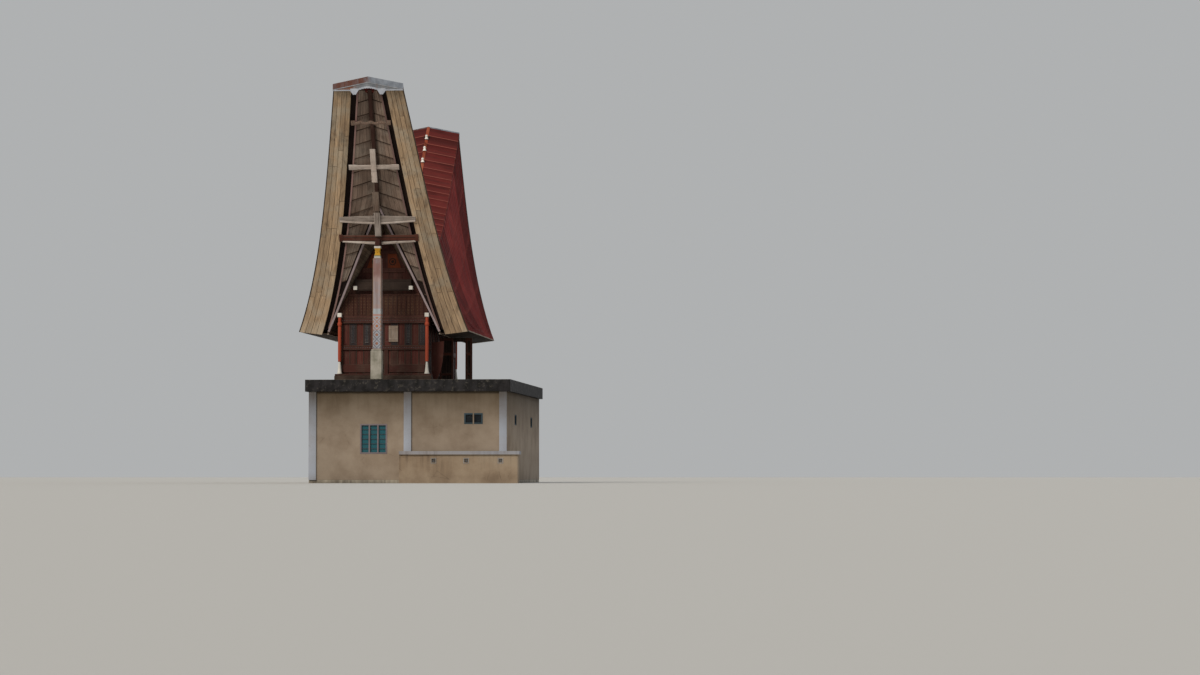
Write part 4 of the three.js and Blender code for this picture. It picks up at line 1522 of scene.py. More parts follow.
@dataclass(frozen=True)
class RoofCovering:
    """Ribbed metal on the sides, lapped courses on the top strip, rolls at the folds and ridge finials."""

    ribs: int = 56
    rib_height: float = 0.020
    side_courses: int = 4
    side_lap: float = 0.010
    rib_crown: float = 0.10
    rib_flank: float = 0.08
    slope: float = 7.0
    top_course: float = 0.47
    growth: float = 0.13
    top_lap: float = 0.030
    lap_gap: float = 0.002
    roll: float = 0.024
    roll_rise: float = 0.045
    ridge_width: float = 0.065
    finial_spacing: float = 0.77
    finial_size: float = 0.19
    finials_from_tip: float = 0.62
    clear: float = 0.01

    def build(self) -> None:
        """Makes and places every piece of the covering."""
        for name, side in SIDES:
            sheets = self.side_sheet(side)
            sheets.emit(f"roof_{name}_sheets", "roof_metal", f"roof_{name}_side")
        self.top_sheets().emit("roof_top_sheets", "roof_metal", "roof_top")
        self.ridge_capping().emit("roof_ridge_capping", "roof_metal")
        end = FORM.tip_half_length - self.clear
        x = FORM.top_half_width + FORM.strip_lap - self.roll
        line = [(y, FORM.fold(y) + self.roll_rise) for y in steps(60, -end, end)]
        folds = [[(side * x, y, z) for y, z in line] for _, side in SIDES]
        ROLLS.make("roof_fold_rolls", "roof_metal", ROLL, folds, Radius=self.roll)
        ridge = self.ridge_line(0.005, FORM.tip_half_length - self.finials_from_tip)
        FINIALS.make("roof_ridge_finials", "cap_metal", WHITE_FINIAL, [ridge],
                     Spacing=self.finial_spacing, Size=self.finial_size)

    def side_sheet(self, side: int) -> Shape:
        """Returns the ribbed sheets of one side.

        Args:
            side: -1 or 1.

        Returns:
            The sheets, as one closed shell.
        """
        over_rib = (0.0, 0.32, 0.40, 0.60, 0.68)
        columns = [(k + part) / self.ribs * 2 - 1 for k in range(self.ribs) for part in over_rib] + [1.0]
        parts = steps(6, 0.0, 0.998)
        rows = [(k + part) / self.side_courses for k in range(self.side_courses) for part in parts]
        rows[-1] = 1.0

        def outer(u: float, b: float) -> Point:
            """Finds a point of the ribbed face.

            Args:
                u: Place along the house.
                b: Place up the slope.

            Returns:
                The point.
            """
            course = min(b * self.side_courses, self.side_courses - 1e-6)
            from_rib = abs((u + 1) / 2 * self.ribs % 1 - 0.5)
            hollow = min(max((from_rib - self.rib_crown) / self.rib_flank, 0.0), 1.0)
            return FORM.side(side, u, b, self.side_lap * (course % 1) + self.rib_height * hollow)

        def lip(u: float, b: float) -> float:
            """Returns the distance up from the lip below, from which the finish paints each course's
            highlight and shade.
            """
            return b * self.side_courses % 1 * 2.0 if b < 1.0 else FAR

        shape = Shape(11, ROOF_SIDE)
        shape.sheet(columns, rows, outer, lambda u, b: FORM.side(side, u, b, FORM.shell),
                    lambda u, b: (u * FORM.eave_half_length, b * self.slope), lip)
        return shape

    def laps(self) -> list[float]:
        """Spaces the laps of one half at slowly growing distances along the curve.

        Returns:
            The Y of each lap.
        """
        fine = steps(400, 0.0, FORM.tip_half_length)
        parts = (math.hypot(b - a, FORM.fold(b) - FORM.fold(a)) for a, b in pairwise(fine))
        run = list(accumulate(parts, initial=0.0))
        shares = [between(s, s ** 3, self.growth) for s in steps(round(run[-1] / self.top_course))]
        return [fine[bisect_left(run, share * run[-1] - 1e-9)] for share in shares]

    def top_sheets(self) -> Shape:
        """Laps the courses over the ridge, each lip towards the middle of the house.

        Returns:
            The courses, as one closed shell.
        """
        half: list[tuple[float, float, float]] = []
        for k, (a, b) in enumerate(pairwise(self.laps())):
            for part in steps(2):
                y = between(a, b, part) + (self.lap_gap if k > 0 and part == 0.0 else 0.0)
                half.append((y, self.top_lap * part, self.top_course * part))
        rows = [(-y, sunk, from_lip) for y, sunk, from_lip in reversed(half)] + half[1:]
        reach = FORM.top_half_width + FORM.strip_lap
        under = 0.0005

        def inner(across: float, row: int) -> Point:
            """Returns a point of the underside."""
            y = rows[row][0]
            return (across * reach, y, FORM.fold(y) + FORM.strip_rise * (1 - abs(across)) + under)

        def outer(across: float, row: int) -> Point:
            """Returns a point of the lapped face."""
            x, y, z = inner(across, row)
            return (x, y, z - under + FORM.strip - rows[row][1])

        shape = Shape(12, ROOF_TOP)
        shape.sheet(steps(10, -1.0, 1.0), range(len(rows)), outer, inner,
                    lambda across, row: (rows[row][0] * 1.2, across * 1.3), lambda across, row: rows[row][2])
        return shape

    def ridge_line(self, over: float, end: float) -> list[Point]:
        """Returns points along the ridge, at a height over it."""
        top = FORM.strip_rise + FORM.strip + over
        return [(0.0, y, FORM.fold(y) + top) for y in steps(60, -end, end)]

    def ridge_capping(self) -> Shape:
        """Folds the capping along the ridge.

        Returns:
            The capping.
        """
        wide = self.ridge_width
        edge = -wide * FORM.strip_rise / FORM.top_half_width
        outline = ((-wide, edge - 0.01), (-wide, edge + 0.006), (-0.02, 0.010), (0.0, 0.014), (0.02, 0.010),
                   (wide, edge + 0.006), (wide, edge - 0.01), (0.0, -0.02))
        line = self.ridge_line(0.0, FORM.tip_half_length - self.clear)
        shape = Shape(13, RIDGE_CAP)
        shape.loft([[(x, y, z + up) for x, up in outline] for _, y, z in line], rounded=True)
        return shape


@dataclass(frozen=True)
class Bargeboards:
    """Weathered planks side by side up each leaning front edge, with a dark edge strip and battens."""

    planks: int = 4
    seam: float = 0.007
    thickness: float = 0.042
    chamfer: float = 0.006
    edge: float = 0.028
    pieces_up: int = 26
    gap: float = 0.0004
    batten_half: float = 0.05
    deep: float = 0.06

    def build(self) -> None:
        """Makes and places the planks of both ends."""
        for name, side in SIDES:
            planks = self.planked(side)
            both_ends(planks, f"bargeboard_{name}_planks", "pale_timber", f"bargeboard_{name}")

    def planked(self, side: int) -> Shape:
        """Returns the front board of one side.

        Args:
            side: -1 or 1.

        Returns:
            Its planks in uneven lengths, the strip on its outer edge and the battens behind.
        """
        shape = Shape(20 + side, BARGE)
        dice = random.Random(5 + side)
        marks = steps(self.planks, self.edge / FORM.barge_top, 1.0)
        for k in range(1, self.planks):
            marks[k] += dice.uniform(-0.02, 0.02)
        for across in pairwise(marks):
            joints = [0.0]
            joint = dice.uniform(0.12, 0.30)
            while joint < 0.93:
                joints.append(joint)
                joint += dice.uniform(0.24, 0.36)
            for up in pairwise([*joints, 1.0]):
                self.plank(shape, side, across, up, dice.uniform(0.0, 0.007))
        self.run(shape, side, steps(self.pieces_up), BARGE_EDGE,
                 lambda width: self.channel(0.0, self.edge / width, 0.0))
        for a in (0.12, 0.88):
            self.run(shape, side, steps(self.pieces_up, 0.004, 0.985), BARGE_EDGE, lambda width: self.channel(
                a - self.batten_half / width, a + self.batten_half / width, self.thickness - 0.001))
        return shape

    def channel(self, left: float, right: float, front: float) -> list[Span]:
        """Returns the section of a strip as places across the board and depths."""
        return [(left, self.deep), (left, front), (right, front), (right, self.deep)]

    def run(self, shape: Shape, side: int, ups: Sequence[float], finish: Finish,
            section: Callable[[float], Sequence[Span]]) -> None:
        """Adds a strip that follows the board, with its section worked out from the board's width."""
        rings = [[(f, *corner) for corner in section(FORM.barge_width(f))] for f in ups]
        shape.loft([[FORM.board(side, a, f, back) for f, a, back in ring] for ring in rings], finish)

    def plank(self, shape: Shape, side: int, across: Span, up: Span, sunk: float) -> None:
        """Adds one plank.

        Args:
            shape: What it is added to.
            side: -1 or 1.
            across: Its two edges, as places across the board.
            up: Its two ends, as places up the board.
            sunk: How far its face lies back.
        """
        def section(width: float) -> list[Span]:
            """Shapes the plank's section.

            Args:
                width: The board's width there.

            Returns:
                Places across the board and depths.
            """
            half, cut = self.seam / 2 / width, self.chamfer / width
            left, right = across[0] + half, across[1] - (half if across[1] < 0.999 else 0.0)
            return [(left, self.thickness), (left, sunk + self.chamfer), (left + cut, sunk),
                    (right - cut, sunk), (right, sunk + self.chamfer), (right, self.thickness)]

        count = max(int((up[1] - up[0]) * self.pieces_up), 2)
        self.run(shape, side, steps(count, up[0] + self.gap * (up[0] > 0), up[1] - self.gap), BARGE, section)


@dataclass(frozen=True)
class GableSoffit:
    """The boarded underside of the leaning gable: chevron courses, battens, trims and ridge beam."""

    course: float = 0.50
    slope: float = 0.36
    boards: int = 5
    board_gap: float = 0.003
    board_proud: float = 0.012
    batten: float = 0.034
    trim: float = 0.062
    leg: float = 0.072
    leg_gap: float = 0.06
    low: float = 2.02
    high: float = 10.72
    lowest_course: float = 1.75
    ridge_from: float = 6.62

    def build(self) -> None:
        """Makes and places the soffit of both ends."""
        shape = Shape(31, GABLE_BOARD)
        for _, side in SIDES:
            self.backing(shape, side)
            self.courses(shape, side)
            self.edges(shape, side)
        for half, proud in ((0.075, 0.17), (0.045, 0.20)):
            line = [(FORM.soffit_y(0.0, z), z) for z in steps(20, self.ridge_from, self.high)]
            section = ((-half, 0.02), (-half, -proud), (half, -proud), (half, 0.02))
            shape.loft([[(x, y + depth, z) for x, depth in section] for y, z in line], RIDGE)
        both_ends(shape, "gable_soffit_boards", "gable_boards", "gable_soffit")

    def bar(self, shape: Shape, side: int, path: Sequence[Span], width: float, depths: Span,
            finish: Finish) -> None:
        """Adds a bar that follows the soffit.

        Args:
            shape: What it is added to.
            side: -1 or 1.
            path: Distance from the middle and height of each point of its centre line.
            width: Its width, measured across.
            depths: Its front and back, behind the soffit's face.
            finish: Its finish.
        """
        front, back = depths
        sections = []
        for i, (x, z) in enumerate(path):
            (xa, za), (xb, zb) = path[max(i - 1, 0)], path[min(i + 1, len(path) - 1)]
            turn = width / 2 / math.hypot(xb - xa, zb - za)
            nx, nz, y = (za - zb) * turn, (xb - xa) * turn, FORM.soffit_y(x, z)
            sections.append([
                (side * (x + s * nx), y + depth, z + s * nz)
                for s, depth in ((-1, back), (-1, front), (1, front), (1, back))
            ])
        shape.loft(sections, finish)

    def backing(self, shape: Shape, side: int) -> None:
        """Adds the thin near-black panel behind the boards, painted shade that shows in the gaps between
        them.

        Args:
            shape: What it is added to.
            side: -1 or 1.
        """
        def panel(a: float, z: float, depth: float = 0.022) -> Point:
            """Finds a point of the panel.

            Args:
                a: Place from its inner to its outer edge.
                z: Height.
                depth: Distance behind the soffit's face.

            Returns:
                The point.
            """
            outer, opening = FORM.soffit_outer(z), FORM.opening(z)
            inner = min(opening, outer - 0.02) if opening > 0 else -0.002
            x = between(inner, outer, a)
            return (side * x, FORM.soffit_y(x, z) + depth, z)

        # The panel's near-black colour is painted shade, seen in the gaps between the boards and beside the
        # opening's edge.
        shape.sheet(steps(3), steps(28, self.low, self.high), panel,
                    lambda a, z: panel(a, z, FORM.soffit_thickness), lambda a, z: (a, z), finish=GAP_SHADE_BOARD)

    def courses(self, shape: Shape, side: int) -> None:
        """Adds the boards of each chevron course and the batten at its lower edge.

        Args:
            shape: What it is added to.
            side: -1 or 1.
        """
        for n in range(int((self.high - self.low) / self.course) + 2):
            foot = self.lowest_course + n * self.course
            for shares in pairwise(steps(self.boards)):
                bases = (foot, foot + self.course)
                corners = [self.corner(share, base) for base in bases for share in shares]
                if None in corners:
                    continue
                (xa, za), (xb, zb), (_, zc), (_, zd) = corners
                if min(xb - xa, zc - za, zd - zb) >= LEAST_LENGTH:
                    self.board(shape, side, corners)
            path = [corner for share in steps(4) if (corner := self.corner(share, foot))]
            if len(path) > 1 and path[-1][0] - path[0][0] > 2 * LEAST_LENGTH:
                self.bar(shape, side, path, self.batten, (-0.022, 0.0), BATTEN)

    def board(self, shape: Shape, side: int, corners: Sequence[Span]) -> None:
        """Adds one board, whose lower end stands in front of the course below.

        Args:
            shape: What it is added to.
            side: -1 or 1.
            corners: Its lower two corners and its upper two.
        """
        lift = shape.dice.uniform(0.0, 0.004) + 0.004
        rings = []
        for (left, right), proud, short, thick in (
                (corners[:2], self.board_proud, 0.0, 0.03), (corners[2:], 0.0, 0.002, 0.02)):
            ends = ((left, self.board_gap), (right, -self.board_gap))
            row = [(x + gap, z - short) for (x, z), gap in ends]
            front = [(side * x, FORM.soffit_y(x, z) + lift - proud, z) for x, z in row]
            rings.append(front + [(x, y + thick, z) for x, y, z in reversed(front)])
        shape.loft(rings)

    def corner(self, share: float, base: float) -> Span | None:
        """Returns a place on a chevron line.

        Args:
            share: From the inner edge to the outer.
            base: Height of the line at the outer edge.

        Returns:
            Distance from the middle and height, or nothing beyond the soffit.
        """
        z, x = base, 0.0
        for _ in range(8):
            held = min(max(z, self.low), self.high)
            outer, opening = FORM.soffit_outer(held), FORM.opening(held)
            inner = opening + self.leg + self.leg_gap if opening > 0 else 0.0
            if inner >= outer - 0.02:
                return None
            x = between(inner, outer - self.trim, share)
            z = base + self.slope * (outer - x)
        return (x, min(max(z, self.low), self.high))

    def edges(self, shape: Shape, side: int) -> None:
        """Adds the outer moulding, the near-black recessed board beside it as painted shade for the gap
        there, and the painted edge of the opening.

        Args:
            shape: What it is added to.
            side: -1 or 1.
        """
        path = [(FORM.soffit_outer(z) - self.trim / 2, z) for z in steps(26, self.low, self.high)]
        self.bar(shape, side, path, self.trim, (-0.035, 0.03), TRIM)
        # Near-black board in the gap beside the moulding: painted shade.
        sections = []
        for z in steps(26, 1.98, self.high):
            inner = FORM.soffit_outer(z) - 0.01
            outer = inner + FORM.soffit_side + 0.03
            front, back = (FORM.edge_y(z) + FORM.soffit_edge + depth for depth in (0.10, 0.13))
            sections.append([
                (side * x, y, z) for x, y in ((inner, front), (outer, front), (outer, back), (inner, back))
            ])
        shape.loft(sections, GAP_SHADE_BOARD)
        path = [(FORM.opening(z) + self.leg / 2 - 0.01, z) for z in steps(10, 1.90, 6.50)]
        self.bar(shape, side, path, self.leg, (-0.055, 0.06), LEG)


@dataclass(frozen=True)
class CrossBeams:
    """The four beams across the gable, two of them with king posts, and the head over the free post."""

    chamfer: float = 0.008
    post_chamfer: float = 0.010

    def build(self) -> None:
        """Makes and places the beams of both ends."""
        both_ends(self.top(), "top_crossbeam_carved", "grey_timber", "top_crossbeam")
        both_ends(self.upper(), "upper_cross_timbers", "pale_timber", "upper_cross")
        both_ends(self.middle(), "middle_cross_timbers", "grey_timber", "middle_cross")
        both_ends(self.lower(), "lower_crossbeam_timbers", "red_timber", "lower_crossbeam")

    def beam(self, shape: Shape, outline: Sequence[Point], proud: float, back: float = 0.04,
             finish: Finish | None = None) -> None:
        """Adds a beam whose faces follow the lean.

        Args:
            shape: What it is added to.
            outline: X, lower height and upper height at each place along it.
            proud: How far it stands in front of the bargeboards.
            back: How far it reaches behind them.
            finish: Its finish.
        """
        cut = self.chamfer
        sections = []
        for x, low, high in sorted(outline):
            section = ((low, proud - cut), (low + cut, proud), (high - cut, proud), (high, proud - cut),
                       (high, -back), (low, -back))
            sections.append([(x, FORM.edge_y(z) - push, z) for z, push in section])
        shape.loft(sections, finish)

    def posts(self, shape: Shape, *lengths_up: tuple[float, float, float, float, float, Finish]) -> None:
        """Adds the lengths of a king post that follows the lean, with eased edges.

        Args:
            shape: What they are added to.
            lengths_up: Half-width, bottom, top, how far before and behind the bargeboards, and finish.
        """
        cut = self.post_chamfer
        for half, low, high, proud, back, finish in lengths_up:
            section = ((-half, -back), (-half, proud - cut), (-half + cut, proud), (half - cut, proud),
                       (half, proud - cut), (half, -back))
            ups = steps(6, low, high)
            shape.loft([[(x, FORM.edge_y(z) - push, z) for x, push in section] for z in ups], finish)

    def top(self) -> Shape:
        """Carves the small beam, wavy along both edges, with square ends.

        Returns:
            The beam.
        """
        shape = Shape(41, CARVED_BEAM)
        reach, proud, back = 0.60, 0.05, 0.02
        waves = [(x, math.cos(x / reach * math.pi * 3)) for x in steps(48, -reach, reach)]
        outline = [(x, 9.485 + 0.018 * wave, 9.585 + 0.030 * wave) for x, wave in waves]
        self.beam(shape, outline, proud, back)
        for _, side in SIDES:
            self.beam(shape, [(side * x, 9.457, 9.623) for x in (reach, 0.748)], proud, back)
        return shape

    def upper(self) -> Shape:
        """Crosses the pale beam and its king post.

        Returns:
            The cross.
        """
        shape = Shape(42, PALE_BEAM)
        middle, end = (7.888, 8.035), (7.868, 8.047)
        places = ((-0.948, end), (-0.70, end), (-0.60, middle), (0.60, middle), (0.70, end), (0.948, end))
        self.beam(shape, [(x, *heights) for x, heights in places], 0.10, 0.03)
        self.posts(shape, (0.100, 7.405, 7.775, 0.186, -0.02, PALE_BEAM),
                   (0.090, 7.775, 7.795, 0.176, -0.02, PALE_BEAM),
                   (0.096, 7.795, 8.595, 0.189, -0.02, PALE_BEAM))
        return shape

    def middle(self) -> Shape:
        """Joins the long grey beam, deeper towards its middle, with a pale lip and its king post.

        Returns:
            The beam and its post.
        """
        shape = Shape(43, GREY_BEAM)
        for half, low, high, fall, power, proud, finish in (
                (1.448, 5.895, 6.205, -0.045, 1.0, 0.096, GREY_BEAM),
                (1.440, 5.893, 5.965, 0.070, 1.5, 0.0995, PALE_BEAM)):
            shares = [(x, abs(x / half)) for x in steps(16, -half, half)]
            outline = [(x, low + 0.085 * share ** 1.5, high + fall * share ** power) for x, share in shares]
            self.beam(shape, outline, proud, finish=finish)
        self.posts(shape, (0.112, 5.445, 6.30, 0.186, 0.03, GREY_BEAM),
                   (0.085, 6.30, 6.36, 0.160, -0.03, BROWN_BEAM),
                   (0.118, 6.36, 7.055, 0.186, -0.06, BROWN_BEAM))
        return shape

    def lower(self) -> Shape:
        """Joins the dark beam, its end blocks, the pale strips under it and the head over the post.

        Returns:
            All of them.
        """
        shape = Shape(44, RED_BEAM)
        self.beam(shape, [(x, 5.285, 5.500) for x in (-1.40, 1.40)], 0.030)
        self.beam(shape, [(x, 5.395, 5.425) for x in (-1.38, 1.38)], 0.042, finish=RED_DARK)
        for _, side in SIDES:
            self.beam(shape, [(side * x, 5.262, 5.527) for x in (1.38, 1.518)], 0.048)
            strip = [(side * x, 5.14 + 0.07 * x, 5.245 + 0.03 * x) for x in (0.10, 1.40)]
            self.beam(shape, strip, 0.046, finish=PALE_BEAM)
        shape.block(around(0.0, 0.088), (-5.845, -5.45), (5.065, 5.315), Axis.Y, finish=RED_DARK)
        return shape


@dataclass(frozen=True)
class GableCap:
    """The folded flashing over the gable's tip: an upper band, a fascia and a scalloped trim."""

    half: float = 1.318
    side_top: float = 10.918
    peak: float = 11.188
    front: float = -8.2053
    band: float = 0.205
    fringe_half: float = 0.66
    arch: float = 10.652
    face_low: float = 10.68
    trim_top: float = 10.74
    rail: Span = (10.655, 10.70)

    def build(self) -> None:
        """Makes and places the cap of both ends."""
        shape = Shape(51, CAP_BAND)
        fringe, line = self.fringe, self.under_peak
        whole, fine = (steps(count, -self.half, self.half) for count in (8, 40))
        self.strip(shape, whole, line(-self.band), line(0.0), (0.0, 0.054), CAP_BAND)
        self.strip(shape, whole, line(-self.band - 0.03), line(0.002 - self.band), (0.0, 0.03), CAP_LINE)
        self.strip(shape, fine, lambda x: max(fringe(x) + 0.05, self.face_low), line(-self.band - 0.01),
                   (0.014, 0.054), CAP_FACE)
        self.strip(shape, steps(96, -self.fringe_half, self.fringe_half), fringe,
                   lambda x: max(fringe(x) + 0.07, self.trim_top), (0.004, 0.030), SCALLOP)
        for ends in ((-self.half, -self.fringe_half), (self.fringe_half, self.half)):
            self.strip(shape, ends, lambda x: self.rail[0], lambda x: self.rail[1], (0.004, 0.03), SCALLOP)
        both_ends(shape, "cap_flashing", "cap_metal", "cap")

    def under_peak(self, shift: float) -> Callable[[float], float]:
        """Returns the line of the cap's upper edge, moved up or down."""
        return lambda x: between(self.peak, self.side_top, abs(x) / self.half) + shift

    def strip(self, shape: Shape, places: Sequence[float], low: Callable[[float], float],
              high: Callable[[float], float], depths: Span, finish: Finish) -> None:
        """Adds a plate between two lines across the cap.

        Args:
            shape: What it is added to.
            places: X of each section.
            low: The lower line.
            high: The upper line.
            depths: Front and back, behind the cap's face.
            finish: Its finish.
        """
        front, back = (self.front + depth for depth in depths)
        shape.loft([
            [(x, front, low(x)), (x, front, high(x)), (x, back, high(x)), (x, back, low(x))] for x in places
        ], finish)

    def fringe(self, x: float) -> float:
        """Returns the lower edge of the trim, with two pendants and an arch between them.

        Args:
            x: Distance from the middle.

        Returns:
            The height.
        """
        reach = abs(x)
        arch = self.arch + 0.088 * math.cos(min(reach / 0.40, 1.0) * math.pi / 2)
        pendant = 0.148 * min(max(0.0, 1.5 - abs(reach - 0.51) / 0.098), 1.0) ** 0.8
        scallop = 0.014 * abs(math.sin(reach * math.pi / 0.09))
        return arch - pendant + scallop * (reach < 0.64)


# The two rows of panels and the two rails, which all four walls share
LOWER_TIER = (0.27, 1.19)
MIDDLE_TIER = (1.37, 2.21)
LOWER_RAIL = (1.19, 1.37)
UPPER_RAIL = (2.21, 2.43)


@dataclass(frozen=True)
class HouseFront:
    """The timber front below the gable: sill, panelled tiers, rails, window shutter and carving."""

    half: float = 1.70
    sill_half: float = 1.878
    sill_front: float = -4.348
    ledge_half: float = 1.86
    ledge_front: float = -4.335
    rail_half: float = 1.699
    stiles_from: float = 1.60
    columns: int = 6
    panel_share: float = 0.30 / 0.57
    face: float = -4.10
    back: float = -3.98
    recess: float = 0.022
    window: tuple[Span, Span] = ((0.21, 0.53), (1.52, 2.10))
    rim: float = 0.03
    bead: float = 0.022
    proud: float = 0.012
    least_height: float = 0.36
    least_width: float = 0.20
    kick: Span = (0.33, 0.64)

    def build(self) -> None:
        """Makes and places the front and the rear."""
        shape = Shape(61, RED_BOARD)
        for half, front, z, cut, finish in (
                (self.sill_half, self.sill_front, (0.001, 0.205), 0.014, DARK_BOARD),
                (self.ledge_half, self.ledge_front, (0.205, 0.269), 0.010, RED_DARK)):
            shape.block(around(0.0, half), (front, self.back), z, Axis.X, cut, finish)
        self.tier(shape, LOWER_TIER, RED_DARK)
        self.tier(shape, MIDDLE_TIER, STILE)
        self.rails(shape)
        self.extras(shape)
        both_ends(shape, "wall_panelling", "red_timber", "wall")
        both_ends(self.shutter(), "window_shutter", "grey_timber", "shutter")
        self.studs()

    def marks(self) -> list[tuple[float, float, bool]]:
        """Sets out the panels and stiles across the front.

        Returns:
            The left and right of each, and whether it is a stile.
        """
        row = [(-self.half, -self.stiles_from, True)]
        for a, b in pairwise(steps(self.columns, -self.stiles_from, self.stiles_from)):
            joint = between(a, b, self.panel_share)
            row += [(a, joint, False), (joint, b, True)]
        row[-1] = (row[-1][0], self.half, True)
        return row

    def tier(self, shape: Shape, row: Span, stile: Finish) -> None:
        """Adds a row of recessed panels and raised stiles, with room for the window.

        Args:
            shape: What it is added to.
            row: Its bottom and top.
            stile: The finish of its stiles.
        """
        (hole_left, hole_right), (hole_low, hole_high), (low, high) = *self.window, row
        for left, right, is_stile in self.marks():
            parts = [(left, right, low, high)]
            if low < hole_low < high and left < hole_right and right > hole_left:
                parts = [(left, right, low, hole_low), (left, right, hole_high, high),
                         (left, hole_left, hole_low, hole_high), (hole_right, right, hole_low, hole_high)]
            for x0, x1, z0, z1 in parts:
                if x1 - x0 < LEAST_WIDTH:
                    continue
                if is_stile:
                    self.stile(shape, (x0, x1), (z0, z1), stile)
                else:
                    self.panel(shape, (x0, x1), (z0, z1))

    def raised(self, shape: Shape, x: Span, face: float, z: Span, finish: Finish) -> None:
        """Adds a board that stands out of the middle of a tall stile or panel."""
        if z[1] - z[0] > self.least_height:
            shape.block(x, (face - self.proud, face + 0.01), z, Axis.Z, 0.010, finish)

    def stile(self, shape: Shape, x: Span, z: Span, finish: Finish) -> None:
        """Adds one stile, with a raised board if it is broad.

        Args:
            shape: What it is added to.
            x: Its left and right.
            z: Its bottom and top.
            finish: Its finish.
        """
        shape.block(x, (self.face, self.back), z, Axis.Z, 0.008, finish)
        if x[1] - x[0] > self.least_width:
            self.raised(shape, inset(x, 0.05), self.face, inset(z, 0.07), finish)

    def panel(self, shape: Shape, x: Span, z: Span) -> None:
        """Adds one recessed panel, with a bead at each side and a raised board on its middle.

        Args:
            shape: What it is added to.
            x: Its left and right.
            z: Its bottom and top.
        """
        face, middle = self.face + self.recess, sum(x) / 2
        shape.block(x, (face, self.back), z, cut=0.004)
        for edge in (x[0], x[1] - self.bead):
            shape.block((edge, edge + self.bead), (self.face - 0.002, self.back - 0.02), z, finish=DARK_BOARD)
        self.raised(shape, around(middle, 0.045), face, inset(z, 0.06), RED_BOARD)

    def rails(self, shape: Shape) -> None:
        """Adds the two rails with a bead along each edge.

        Args:
            shape: What they are added to.
        """
        for rail, proud in ((LOWER_RAIL, 0.05), (UPPER_RAIL, 0.07)):
            front = self.face - proud
            across = around(0.0, self.rail_half)
            shape.block(across, (front + self.proud, self.back), rail, Axis.X, 0.010, RAIL)
            for low in (rail[0] + 0.004, rail[1] - 0.034):
                shape.block(inset(across, 0.004), (front, self.face), (low, low + 0.03), Axis.X, 0.009,
                            RED_DARK)

    def extras(self, shape: Shape) -> None:
        """Adds the broad stile by the post, the kick boards, the corner boards and the window's frame.

        Args:
            shape: What they are added to.
        """
        kick, corner = self.kick, (LOWER_TIER[0], MIDDLE_TIER[1])
        inner, outer = self.stiles_from, self.rail_half
        for x, proud, z, along, finish in (
                ((0.02, 0.17), 0.045, LOWER_TIER, Axis.Z, RED_DARK),
                ((0.20, 1.58), 0.03, kick, Axis.X, RED_DARK),
                ((-inner, -0.02), 0.03, kick, Axis.X, RED_DARK),
                ((-inner, -outer), 0.022, corner, Axis.Z, DARK_BOARD),
                ((inner, outer), 0.022, corner, Axis.Z, DARK_BOARD)):
            shape.block(x, (self.face - proud, self.face), z, along, 0.010, finish)
        (left, right), (low, high) = self.window
        depth, rim = (self.face - self.proud, self.back), self.rim
        for x in ((left - rim, left), (right, right + rim)):
            shape.block(x, depth, (low - rim, high + rim), finish=RED_DARK)
        for z in ((low - rim, low), (high, high + rim)):
            shape.block((left, right), depth, z, Axis.X, finish=RED_DARK)

    def shutter(self) -> Shape:
        """Joins three boards and two ledges into the closed shutter.

        Returns:
            The shutter.
        """
        shape = Shape(62, SHUTTER)
        lap = 0.018
        (left, right), (low, high) = ((a - lap, b + lap) for a, b in self.window)
        boards = (self.face - 0.032, self.face - 0.013)
        ledges = (self.face - 0.0395, self.face - 0.03)
        for a, b in pairwise(steps(3, left, right)):
            shape.block((a + 0.001, b - 0.001), boards, (low, high), cut=0.004)
        for z in (low + 0.09, high - 0.13):
            shape.block((left + 0.015, right - 0.015), ledges, (z, z + 0.045), Axis.X, 0.003)
        return shape

    def studs(self) -> None:
        """Adds the small carved studs in rows on the stiles and rails, at both ends."""
        points: list[Point] = []
        for left, right, is_stile in self.marks():
            beside_window = left < self.window[0][1] and right > self.window[0][0]
            if is_stile and right - left >= self.least_width and not beside_window:
                places = product(steps(2, left + 0.085, right - 0.085), steps(11, *inset(MIDDLE_TIER, 0.11)))
                points += [(x, self.face - self.proud, z) for x, z in places]
        rails = ((1.28, 0.038), (2.32, 0.058))
        points += [(x, self.face - proud, z) for x in steps(36, -1.6, 1.6) for z, proud in rails]
        stud_rows(points, "wall_studs", STUD_GREY, 0.026)


def stud_rows(points: Sequence[Point], name: str, finish: Finish, radius: float) -> None:
    """Places carved studs at the front, and the same ones turned half round at the rear.

    Args:
        points: Places at the front.
        name: The piece's name without its end.
        finish: Its finish.
        radius: Size of the largest stud.
    """
    for end, sign in (("front", 1), ("rear", -1)):
        STUDS.make(f"{end}_{name}", "red_timber", finish, [[(sign * x, sign * y, z)] for x, y, z in points],
                   Radius=radius, Height=0.014, Turn=(sign * math.pi / 2, 0.0, 0.0))


